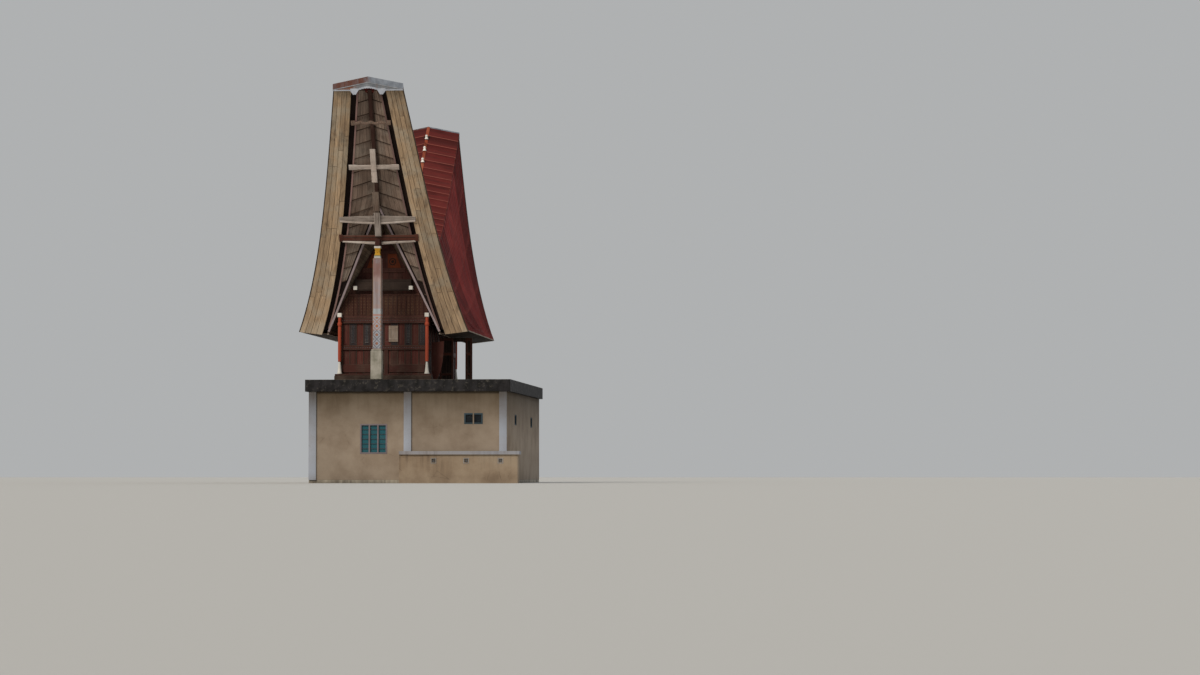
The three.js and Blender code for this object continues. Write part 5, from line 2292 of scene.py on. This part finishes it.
@dataclass(frozen=True)
class SideWalls:
    """The long walls: sill, panelled tiers and rails, with a framed doorway on the right."""

    half: float = 1.70
    inner: float = 1.58
    end: float = 3.979
    door: Span = (0.90, 1.80)
    door_top: float = 2.0
    clear: float = 0.015
    bay: float = 0.66
    stile: float = 0.10

    def build(self) -> None:
        """Makes and places both walls."""
        left = self.wall(-1, (-self.end, self.end))
        left.emit("left_wall_panelling", "dark_timber", "left_wall")
        right = self.wall(1, (-self.end, self.door[0]), (self.door[1], self.end))
        self.doorway(right)
        right.emit("right_wall_panelling", "dark_timber", "right_wall_front", "right_wall_rear",
                   "right_wall_over_doorway")

    def timber(self, shape: Shape, side: int, proud: float, y: Span, z: Span, along: Axis, finish: Finish,
               cut: float = 0.008, inner: float = 0.0) -> None:
        """Adds a timber of a side wall, kept under the inner boarding.

        Args:
            shape: What it is added to.
            side: -1 or 1.
            proud: How far it stands out of the wall's face.
            y: Its two ends along the house.
            z: Its bottom and top.
            along: The way its grain runs.
            finish: Its finish.
            cut: How far its edges are cut back.
            inner: How far it reaches out of the wall's inner face.
        """
        outer = self.half + proud
        top = min(z[1], min(FORM.tent(outer, v) for v in y) - self.clear)
        if top - z[0] >= LEAST_LENGTH:
            shape.block((side * (self.inner - inner), side * outer), y, (z[0], top), along, cut, finish)

    def wall(self, side: int, *runs: Span) -> Shape:
        """Returns one long wall.

        Args:
            side: -1 or 1.
            runs: Start and end of each stretch of wall.

        Returns:
            The wall.
        """
        shape = Shape(70 + side, RED_BOARD)
        for start, end in runs:
            self.timber(shape, side, 0.058, (start, end), (0.001, 0.268), Axis.Y, DARK_BOARD, 0.012)
            for a, b in pairwise(steps(round((end - start) / self.bay), start, end)):
                for z, plank in ((LOWER_TIER, RED_DARK), (MIDDLE_TIER, RED_BOARD)):
                    for stile in ((a, a + self.stile), (b - self.stile, b)):
                        self.timber(shape, side, 0.0, stile, z, Axis.Z, STILE)
                    for board in pairwise(steps(3, a + self.stile, b - self.stile)):
                        self.timber(shape, side, -0.022, board, z, Axis.Z, plank, 0.004)
                for z, proud in ((LOWER_RAIL, 0.03), (UPPER_RAIL, 0.04)):
                    self.timber(shape, side, proud, (a, b), z, Axis.Y, RAIL, 0.009)
                self.timber(shape, side, 0.0, (a, b), (UPPER_RAIL[1], 2.70), Axis.Y, DARK_BOARD)
        return shape

    def doorway(self, shape: Shape) -> None:
        """Adds the doorway's jambs, head and the boards over it.

        Args:
            shape: The right wall.
        """
        (start, end), top = self.door, self.door_top
        for jamb in ((start, start + 0.06), (end - 0.06, end)):
            self.timber(shape, 1, 0.02, jamb, (0.02, top), Axis.Z, RED_DARK, inner=0.01)
        self.timber(shape, 1, 0.02, self.door, (top, top + 0.1), Axis.Y, RED_DARK, inner=0.01)
        for board in pairwise(steps(3, start, end)):
            self.timber(shape, 1, -0.02, board, (top + 0.1, 2.6), Axis.Z, RED_BOARD)


@dataclass(frozen=True)
class GableWall:
    """The wall in the V opening: carved tier, dark boards, orange panels with discs, and tie beam."""

    face: float = -4.10
    back: float = -4.00
    half: float = 1.70
    tier_low: float = 2.432
    tier_top: float = 3.35
    top: float = 6.2
    columns: int = 20
    clear: float = 0.02
    rail_clear: float = 0.03
    stud_clear: float = 0.08

    def build(self) -> None:
        """Makes and places the gable of both ends."""
        shape = Shape(81, CARVED_RED)
        self.carved_tier(shape)
        self.boards(shape)
        self.orange_panels(shape)
        both_ends(shape, "gable_wall_panelling", "red_timber", "gable_wall")
        both_ends(self.tie_beam(), "tie_beam_timbers", "dark_timber", "tie_beam")
        points = []
        for k, (a, b) in enumerate(pairwise(steps(self.columns, -self.half, self.half))):
            y = self.face - (0.021 if k % 2 else 0.029)
            places = product((a + 0.055, b - 0.055), steps(11, 2.56, 3.22))
            points += [(x, y, z) for x, z in places if z < FORM.tent(x, self.face) - self.stud_clear]
        stud_rows(points, "gable_studs", STUD_OCHRE, 0.018)

    def column(self, shape: Shape, x: Span, z: Span, front: float, finish: Finish,
               ease: float = 0.006) -> None:
        """Adds an upright board whose top is cut to the slope of the inner boarding.

        Args:
            shape: What it is added to.
            x: Its left and right.
            z: Its bottom, and its top where nothing cuts it.
            front: Its front face.
            finish: Its finish.
            ease: How far its front edges are cut back.
        """
        low, high = z
        tops = [min(high, FORM.tent(at, front) - self.clear) for at in x]
        if max(tops) - low >= LEAST_LENGTH:
            left_top, right_top = (max(top, low + 0.012) for top in tops)
            outline = [(x[0], low), (x[1], low), (x[1], right_top), (x[0], left_top)]
            shape.plate(outline, front, self.back, finish, ease)

    def rail(self, shape: Shape, low: float, high: float, proud: float, most: float = math.inf) -> None:
        """Adds a rail across the gable, as long as the inner boarding lets it be."""
        reach = min(most, FORM.tent_half(high, self.face) - self.rail_clear)
        shape.block(around(0.0, reach), (self.face - proud, self.face), (low, high), Axis.X, 0.008, RAIL)

    def carved_tier(self, shape: Shape) -> None:
        """Adds the carved columns over the wall, with thin stiles between them.

        Args:
            shape: What they are added to.
        """
        tier = (self.tier_low, self.tier_top)
        for k, (a, b) in enumerate(pairwise(steps(self.columns, -self.half, self.half))):
            self.column(shape, (a, b), tier, self.face - (0.022 if k % 2 else 0.030), CARVED_RED)
            self.column(shape, around(a, 0.010), tier, self.face - 0.048, RED_DARK, 0.004)
        for low, high in ((self.tier_low, 2.50), (3.28, self.tier_top)):
            self.rail(shape, low, high, 0.0495, 1.699)

    def boards(self, shape: Shape) -> None:
        """Adds the plain boards up to the top of the gable and two rails across them.

        Args:
            shape: What they are added to.
        """
        for k, (a, b) in enumerate(pairwise(steps(16, -1.42, 1.42))):
            front = self.face + 0.004 * (k % 2)
            self.column(shape, inset((a, b), 0.002), (self.tier_top, self.top), front, RED_DARK)
        for low, high, proud in ((4.17, 4.33, 0.035), (4.90, 5.0, 0.03)):
            self.rail(shape, low, high, proud)

    def orange_panels(self, shape: Shape) -> None:
        """Adds the two bright panels and the ringed disc on each.

        Args:
            shape: What they are added to.
        """
        turns = [math.tau * k / 20 for k in range(20)]
        for _, side in SIDES:
            outline = [(side * x, z) for x, z in ((0.14, 4.34), (0.66, 4.34), (0.47, 4.88), (0.14, 4.88))]
            shape.plate(outline, self.face - 0.02, self.face + 0.01, ORANGE_PANEL, 0.006)
            rings = ((0.14, 0.030, DISC), (0.10, 0.038, ORANGE_PANEL), (0.06, 0.046, DISC))
            for radius, proud, finish in rings:
                ring = [(side * 0.335 + radius * math.cos(t), 4.58 + radius * math.sin(t)) for t in turns]
                shape.plate(ring, self.face - proud, self.face, finish, 0.004)

    def tie_beam(self) -> Shape:
        """Joins the heavy beam with slanted ends, its beads and its white end blocks.

        Returns:
            The beam.
        """
        shape = Shape(82, TIE_TIMBER)
        low, high, front = 3.462, 3.888, -4.326
        wide, narrow = (min(1.088, FORM.tent_half(z, front)) for z in (low, high))
        outline = [(-wide, low), (wide, low), (narrow, high), (-narrow, high)]
        shape.plate(outline, front, self.face - 0.001, ease=0.012, upright=False)
        reach = narrow - 0.02
        for z in (low + 0.05, high - 0.075):
            shape.block(around(0.0, reach), (front - 0.012, front + 0.02), (z, z + 0.025), Axis.X, 0.005)
        for _, side in SIDES:
            shape.block((side * 0.997, side * 1.143), (-4.398, -4.11), (3.487, 3.633), Axis.Y, 0.010, WHITE)
        return shape


@dataclass(frozen=True)
class Posts:
    """The turned orange corner posts with white heads, and the free painted post before each gable."""

    corner_x: float = 1.685
    corner_y: float = -4.262
    radius: float = 0.065
    cube_half: float = 0.0825
    post_y: float = -5.70
    shaft: float = 0.165
    sides: int = 20

    def build(self) -> None:
        """Makes and places the posts of both ends."""
        for name, side in SIDES:
            post = f"{name}_corner_post"
            both_ends(self.corner(side), f"{post}_turned", "orange_paint", post)
        both_ends(self.free_post(), "post_painted", "post_paint", "post")
        low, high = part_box("front_post_base")
        base, x, y = Shape(94, POST_BASE), (low.x, high.x), (low.y, high.y)
        base.block(x, y, (0.001, 1.10), Axis.Z, 0.022)
        base.block(inset(x, 0.02), inset(y, 0.02), (1.10, 1.1495), cut=0.018)
        both_ends(base, "post_base_cast", "pale_concrete", "post_base")

    def corner(self, side: int) -> Shape:
        """Returns a corner post at the front.

        Args:
            side: -1 or 1.

        Returns:
            Its white foot, its orange shaft and its white head.
        """
        shape = Shape(90 + side, ORANGE)
        x, y, r, h = side * self.corner_x, self.corner_y, self.radius, self.cube_half
        foot = ((0.093, 0.272), (0.094, 0.31), (0.080, 0.33), (0.060, 0.50), (0.042, 0.69), (0.040, 0.735))
        shaft = ((0.045, 0.735), (r, 0.752), (r * 0.93, 0.80), (r, 0.86), (r, 2.05), (r * 0.85, 2.085),
                 (0.080, 2.12), (0.087, 2.165), (0.087, 2.20), (0.072, 2.235), (r * 0.85, 2.26),
                 (r * 0.95, 2.30), (r * 0.9, 2.442))
        shape.turned_solid(foot, x, y, self.sides, WHITE)
        shape.turned_solid(shaft, x, y, self.sides)
        shape.block(around(x, h), around(y, h), (2.442, 2.604), Axis.Z, 0.014, WHITE)
        return shape

    def free_post(self) -> Shape:
        """Stacks the painted shaft and its capital, from insets of the shaft's half-width and heights.

        Returns:
            The post.
        """
        shape = Shape(93, POST)
        waist = ((0.053, 4.70), (0.066, 4.75), (0.084, 4.81), (0.088, 4.835), (0.080, 4.88), (0.060, 4.95),
                 (0.053, 4.975))
        for rings, finish, cut in (
                (((0.004, 1.151), (0.0, 1.16), (0.0, 2.7), (0.004, 4.585), (0.008, 4.592)), POST, 0.014),
                (((0.050, 4.592), (0.045, 4.60), (0.045, 4.655), (0.050, 4.665)), WHITE, 0.010),
                (((0.052, 4.665), (0.046, 4.672), (0.050, 4.70)), GREEN_BAND, 0.010),
                (waist, YELLOW, 0.006),
                (((0.049, 4.975), (0.045, 4.985), (0.045, 5.05), (0.052, 5.059)), WHITE, 0.010)):
            sections = []
            for less, z in rings:
                side = around(0.0, self.shaft - less)
                sections.append([(x, self.post_y + y, z) for x, y in eased(side, side, cut)])
            shape.loft(sections, finish)
        boss = [(0.006, 4.81), (0.026, 4.828), (0.026, 4.852), (0.006, 4.87)]
        reach = self.shaft - 0.078
        for turn in (k * math.pi / 2 for k in range(4)):
            shape.turned_solid(boss, reach * math.sin(turn), self.post_y - reach * math.cos(turn), 10,
                               YELLOW)
        return shape


@dataclass(frozen=True)
class SideScreen:
    """The boarded screen beside the house under the right eave, and the curved wing board before it."""

    y: float = -1.22
    thickness: float = 0.07
    right: float = 3.05
    door: Span = (2.30, 2.78)
    door_top: float = 1.62
    top: float = 1.779
    plank: float = 0.135

    def build(self) -> None:
        """Makes and places the screen and the wing board."""
        shape = Shape(101, DARK_BOARD)
        left, (door_left, door_right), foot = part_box("side_screen")[0].x, self.door, 0.001
        count = math.ceil((self.right - 0.02 - left) / self.plank)
        for x, end in pairwise(min(left + k * self.plank, self.right) for k in range(count + 1)):
            for a, b, low in ((x, min(end, door_left), foot), (max(x, door_right), end, foot),
                              (max(x, door_left), min(end, door_right), self.door_top)):
                if b - a > LEAST_WIDTH:
                    shape.block((a, b), (self.y + 0.022, self.y + self.thickness), (low, self.top), cut=0.005)
        for x in ((left, left + 0.09), (door_left - 0.08, door_left), (door_right, door_right + 0.08),
                  (self.right - 0.09, self.right)):
            shape.block(x, (self.y, self.y + 0.04), (foot, self.top), Axis.Z, 0.008, RED_BEAM)
        heights = ((0.30, 0.40), (1.08, 1.20), (1.66, self.top))
        for z, x in product(heights, ((left, door_left), (door_right, self.right))):
            shape.block(x, (self.y + 0.004, self.y + 0.04), z, Axis.X, 0.008, RED_BEAM)
        shape.emit("side_screen_boards", "dark_timber", "side_screen")
        softened("side_wing_board_carved", "red_timber", RED_WING, 0.008, "side_wing_board")


@dataclass(frozen=True)
class Undersides:
    """What shows under the roof: the inner boarding, the eave boards and their pale edge strips."""

    end: float = 4.139
    planks: int = 6
    joints: tuple[float, ...] = (-1.5, 1.2)
    line: tuple[Span, ...] = ((2.131, 1.829), (2.215, 1.829), (3.165, 1.934), (3.280, 1.934))
    gap: float = 0.002
    joint_gap: float = 0.001

    def build(self) -> None:
        """Dresses the inner boarding and the floor, and makes the eave boards."""
        for name, side in SIDES:
            dress(f"inner_roof_{name}", TENT_BOARD)
            self.eave(side).emit(f"eave_boards_{name}", "dark_timber", f"eave_soffit_{name}")
        dress("house_floor", FLOOR_BOARD)

    def height(self, x: float) -> float:
        """Returns the eave's underline at a distance from the middle.

        Args:
            x: The distance.

        Returns:
            The height of the boards' upper face.
        """
        for (xa, za), (xb, zb) in pairwise(self.line):
            if x <= xb:
                return between(za, zb, (x - xa) / (xb - xa))
        return self.line[-1][1]

    def eave(self, side: int) -> Shape:
        """Returns the boards under one eave and the strips along its edges.

        Args:
            side: -1 or 1.

        Returns:
            The boards.
        """
        shape = Shape(110 + side, DARK_BOARD)
        for a, b in pairwise(steps(self.planks, self.line[0][0], self.line[-1][0])):
            left, right = (a + self.gap, self.height(a)), (b - self.gap, self.height(b))
            section = [(side * x, z - depth) for (x, z), depth in (
                (left, 0.036), (right, 0.036), (right, 0.006), (left, 0.006))]
            for start, end in pairwise((-self.end, *self.joints, self.end)):
                ends = (start + self.joint_gap, end - self.joint_gap)
                shape.loft([[(x, y, z) for x, z in section] for y in ends])
        for near, far, low, high in ((2.131, 2.185, 1.7895, 1.829), (3.245, 3.2805, 1.8955, 1.934)):
            shape.block((side * near, side * far), (-self.end, self.end), (low, high), Axis.Y,
                        finish=SHUTTER)
        return shape


@dataclass(frozen=True)
class BaseStorey:
    """The rendered base storey, its windows, the front plinth and the dark terrace slab."""

    bar: float = 0.055
    window_y: float = 2.90
    window_half: float = 0.35
    window_z: Span = (2.22, 2.63)
    clear: float = 0.001
    lights: int = 3
    vents: tuple[float, ...] = (2.27, 3.50, 4.79)
    vent_half: float = 0.10
    vent_z: float = 0.84
    vent_y: float = -6.60
    vent_rim: float = 0.018
    vent_step: float = 0.034

    def build(self) -> None:
        """Makes and places every piece of the base."""
        for wall, ease in (("front", 0.012), ("rear", 0.012), ("left", 0.010), ("right", 0.010)):
            softened(f"base_{wall}_wall_render", "render", RENDER, ease, f"base_{wall}_wall")
        softened("ground_floor_screed", "concrete", PLASTER, 0.012, "ground_floor")
        softened("front_plinth_render", "render", PLINTH, 0.014, "front_plinth")
        self.front_windows()
        for name, side in SIDES:
            self.side_windows(name, side)
        self.plinth_vents()
        self.slab()

    def front_windows(self) -> None:
        """Dresses the two front windows, and adds a mullion to the small one and bars to the wide one."""
        for name, timber, pane in (("small", WINDOW, GLASS), ("wide", WIDE_FRAME, TEAL_GLASS)):
            softened(f"base_{name}_window_frame", "window_frame", timber, 0.006, f"base_{name}_window")
            dress(f"base_{name}_window_glass", pane)
        low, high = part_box("base_small_window")
        shape = Shape(125, RENDER, 0.0)
        shape.block(around((low.x + high.x) / 2, 0.026), (low.y - 0.004, low.y + 0.02),
                    inset((low.z, high.z), 0.002), cut=0.004)
        shape.emit("base_small_window_mullion", "render")
        low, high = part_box("base_wide_window")
        light = (high.x - low.x - (self.lights + 1) * self.bar) / self.lights
        starts = [
            [(low.x + self.bar + k * (light + self.bar) + light / 2, low.y + 0.045, low.z + 0.20)]
            for k in range(self.lights)
        ]
        SLATS.make("base_wide_window_bars", "window_frame", WINDOW_BAR, starts, 0.0, Count=5,
                   Step=(0.0, 0.0, 0.18), Size=(light, 0.014, 0.014))

    def side_windows(self, name: str, side: int) -> None:
        """Makes the two windows of one side wall.

        Args:
            name: The side's name.
            side: -1 or 1.
        """
        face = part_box(f"base_{name}_wall")[side > 0].x
        x, glass = ((face - side * 0.07, face - side * 0.005), (face - side * 0.045, face - side * 0.037))
        shape, panes = Shape(121, WINDOW, 0.0), Shape(122, GLASS, 0.0)
        half, bar, clear, up = self.window_half, self.bar, self.clear, self.window_z
        for y in (-self.window_y, self.window_y):
            across = around(y, half)
            for a in (y - half, y - bar / 2, y + half - bar):
                shape.block(x, inset((a, a + bar), clear), inset(up, clear))
            for z in (up[0], up[1] - bar):
                shape.block(inset(x, side * 0.003), inset(across, clear), inset((z, z + bar), clear), Axis.Y)
            panes.block(glass, inset(across, 0.02), inset(up, 0.02), Axis.Y, 0.001)
        shape.emit(f"base_{name}_window_frames", "window_frame")
        panes.emit(f"base_{name}_window_panes", "window_glass")

    def plinth_vents(self) -> None:
        """Adds a pale rim and a grille of slats in each plinth vent."""
        shape = Shape(123, LEDGE, 0.0)
        half, y, z = self.vent_half, self.vent_y, self.vent_z
        for x, (a, b) in product(self.vents, ((-half, self.vent_rim - half), (half - self.vent_rim, half))):
            shape.block((x + a, x + b), (y - 0.012, y + 0.05), around(z, half), Axis.Z, 0.004)
            shape.block(around(x, half), (y - 0.010, y + 0.048), (z + a, z + b), Axis.X, 0.004)
        shape.emit("front_plinth_vent_rims", "render")
        starts = [[(x, y + 0.03, z - self.vent_step)] for x in self.vents]
        SLATS.make("front_plinth_vent_slats", "render", LEDGE, starts, 0.0, Count=3,
                   Step=(0.0, 0.0, self.vent_step), Size=(0.10, 0.012, 0.010))

    def chip(self, x: float, y: float, row: float, size: float) -> float:
        """Returns how far the slab's lower edge, row 1, or upper edge, row 2, is broken back at a place."""
        coarse, fine = (noise.noise(Vector((x * scale, y, row))) for scale in (2.3, 9.0))
        return 0.010 + size * max(coarse + 0.5 * fine, 0.0)

    def slab(self) -> None:
        """Makes the slab with chipped edges."""
        low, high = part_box("terrace_slab")
        sections = []
        for x in steps(150, low.x, high.x):
            ring = []
            for y, side in ((low.y, 1), (high.y, -1)):
                under, over = self.chip(x, y, 1.0, 0.020), self.chip(x, y, 2.0, 0.045)
                wave = 0.004 * (1 + noise.noise(Vector((x * 1.3, y, 0.0))))
                face = ((under, low.z), (wave, low.z + under), (wave, high.z - over * 0.8), (over, high.z))
                ring += [(x, y + side * depth, z) for depth, z in face[::side]]
            sections.append(ring)
        shape = Shape(124, SLAB, 0.0)
        shape.loft(sections)
        shape.emit("terrace_slab_concrete", "concrete", "terrace_slab")


@dataclass(frozen=True)
class Studio:
    """The pale floor, the soft lights and the camera at the photograph's angle."""

    eye: Point = (17.805, -119.77, 0.28)
    heading: float = math.radians(8.4557)
    yaw: float = math.radians(3.7626)
    pitch: float = math.radians(2.5947)
    focal_px: float = 3049.25
    frame_px: float = 1200.0
    sensor: float = 36.0
    floor_half: float = 400.0
    sky_colour: str = "d9dbdc"
    sky_strength: float = 0.62

    def build(self) -> None:
        """Makes the floor, the sky, the lights and the camera."""
        self.floor()
        world = bpy.data.worlds.new("studio")
        world.use_nodes = True
        background = world.node_tree.nodes["Background"]
        background.inputs["Color"].default_value = srgb(self.sky_colour)
        background.inputs["Strength"].default_value = self.sky_strength
        bpy.context.scene.world = world
        self.sun("key", 38.0, -30.0, 2.1, 22.0, (1.0, 0.93, 0.84))
        self.sun("fill", 25.0, 150.0, 0.5, 60.0, (0.86, 0.92, 1.0))
        self.camera()
        bpy.context.scene.view_settings.view_transform = "Standard"

    def floor(self) -> None:
        """Makes the plain pale floor."""
        half = self.floor_half
        mesh = bpy.data.meshes.new("studio_floor")
        corners = ((-half, -half), (half, -half), (half, half), (-half, half))
        mesh.from_pydata([(x, y, -0.001) for x, y in corners], [], [(0, 1, 2, 3)])
        material = bpy.data.materials.new("studio_floor")
        material.use_nodes = True
        shader = material.node_tree.nodes["Principled BSDF"]
        shader.inputs["Base Color"].default_value = srgb("b9b7b2")
        shader.inputs["Roughness"].default_value = 0.9
        mesh.materials.append(material)
        link("studio_floor", mesh)

    def sun(self, name: str, height: float, bearing: float, strength: float, softness: float,
            colour: tuple[float, float, float]) -> None:
        """Makes a broad light.

        Args:
            name: Its name.
            height: How high it stands, in degrees.
            bearing: Its direction from the front in degrees, with the left negative.
            strength: Its strength.
            softness: Its spread in degrees.
            colour: Its colour.
        """
        light = bpy.data.lights.new(name, "SUN")
        light.energy, light.angle, light.color = strength, math.radians(softness), colour
        up, turn = math.radians(height), math.radians(bearing)
        source = Vector((math.sin(turn) * math.cos(up), -math.cos(turn) * math.cos(up), math.sin(up)))
        link(name, light).rotation_euler = source.to_track_quat("Z", "Y").to_euler()

    def camera(self) -> None:
        """Makes the camera where the photograph was taken from."""
        turn = self.heading - self.yaw
        ahead = Vector((-math.sin(turn), math.cos(turn), 0.0))
        beside = Vector((math.cos(turn), math.sin(turn), 0.0))
        view = math.cos(self.pitch) * ahead + math.sin(self.pitch) * Vector((0.0, 0.0, 1.0))
        lens = bpy.data.cameras.new("camera")
        lens.sensor_width = self.sensor
        lens.lens = self.focal_px / self.frame_px * self.sensor
        lens.clip_end = 1000.0
        camera = link("camera", lens)
        turned = Matrix((beside, beside.cross(view), -view)).transposed().to_4x4()
        camera.matrix_world = Matrix.Translation(Vector(self.eye)) @ turned
        bpy.context.scene.camera = camera


def main() -> None:
    """Builds every sub-assembly in order, then the studio."""
    logging.basicConfig(level=logging.INFO, format="%(message)s")
    for assembly in (RoofCovering(), Bargeboards(), GableSoffit(), CrossBeams(), GableCap(), HouseFront(),
                     SideWalls(), GableWall(), Posts(), SideScreen(), Undersides(), BaseStorey(), Studio()):
        LOG.info("Building %s", type(assembly).__name__)
        assembly.build()


if __name__ == "__main__":
    main()
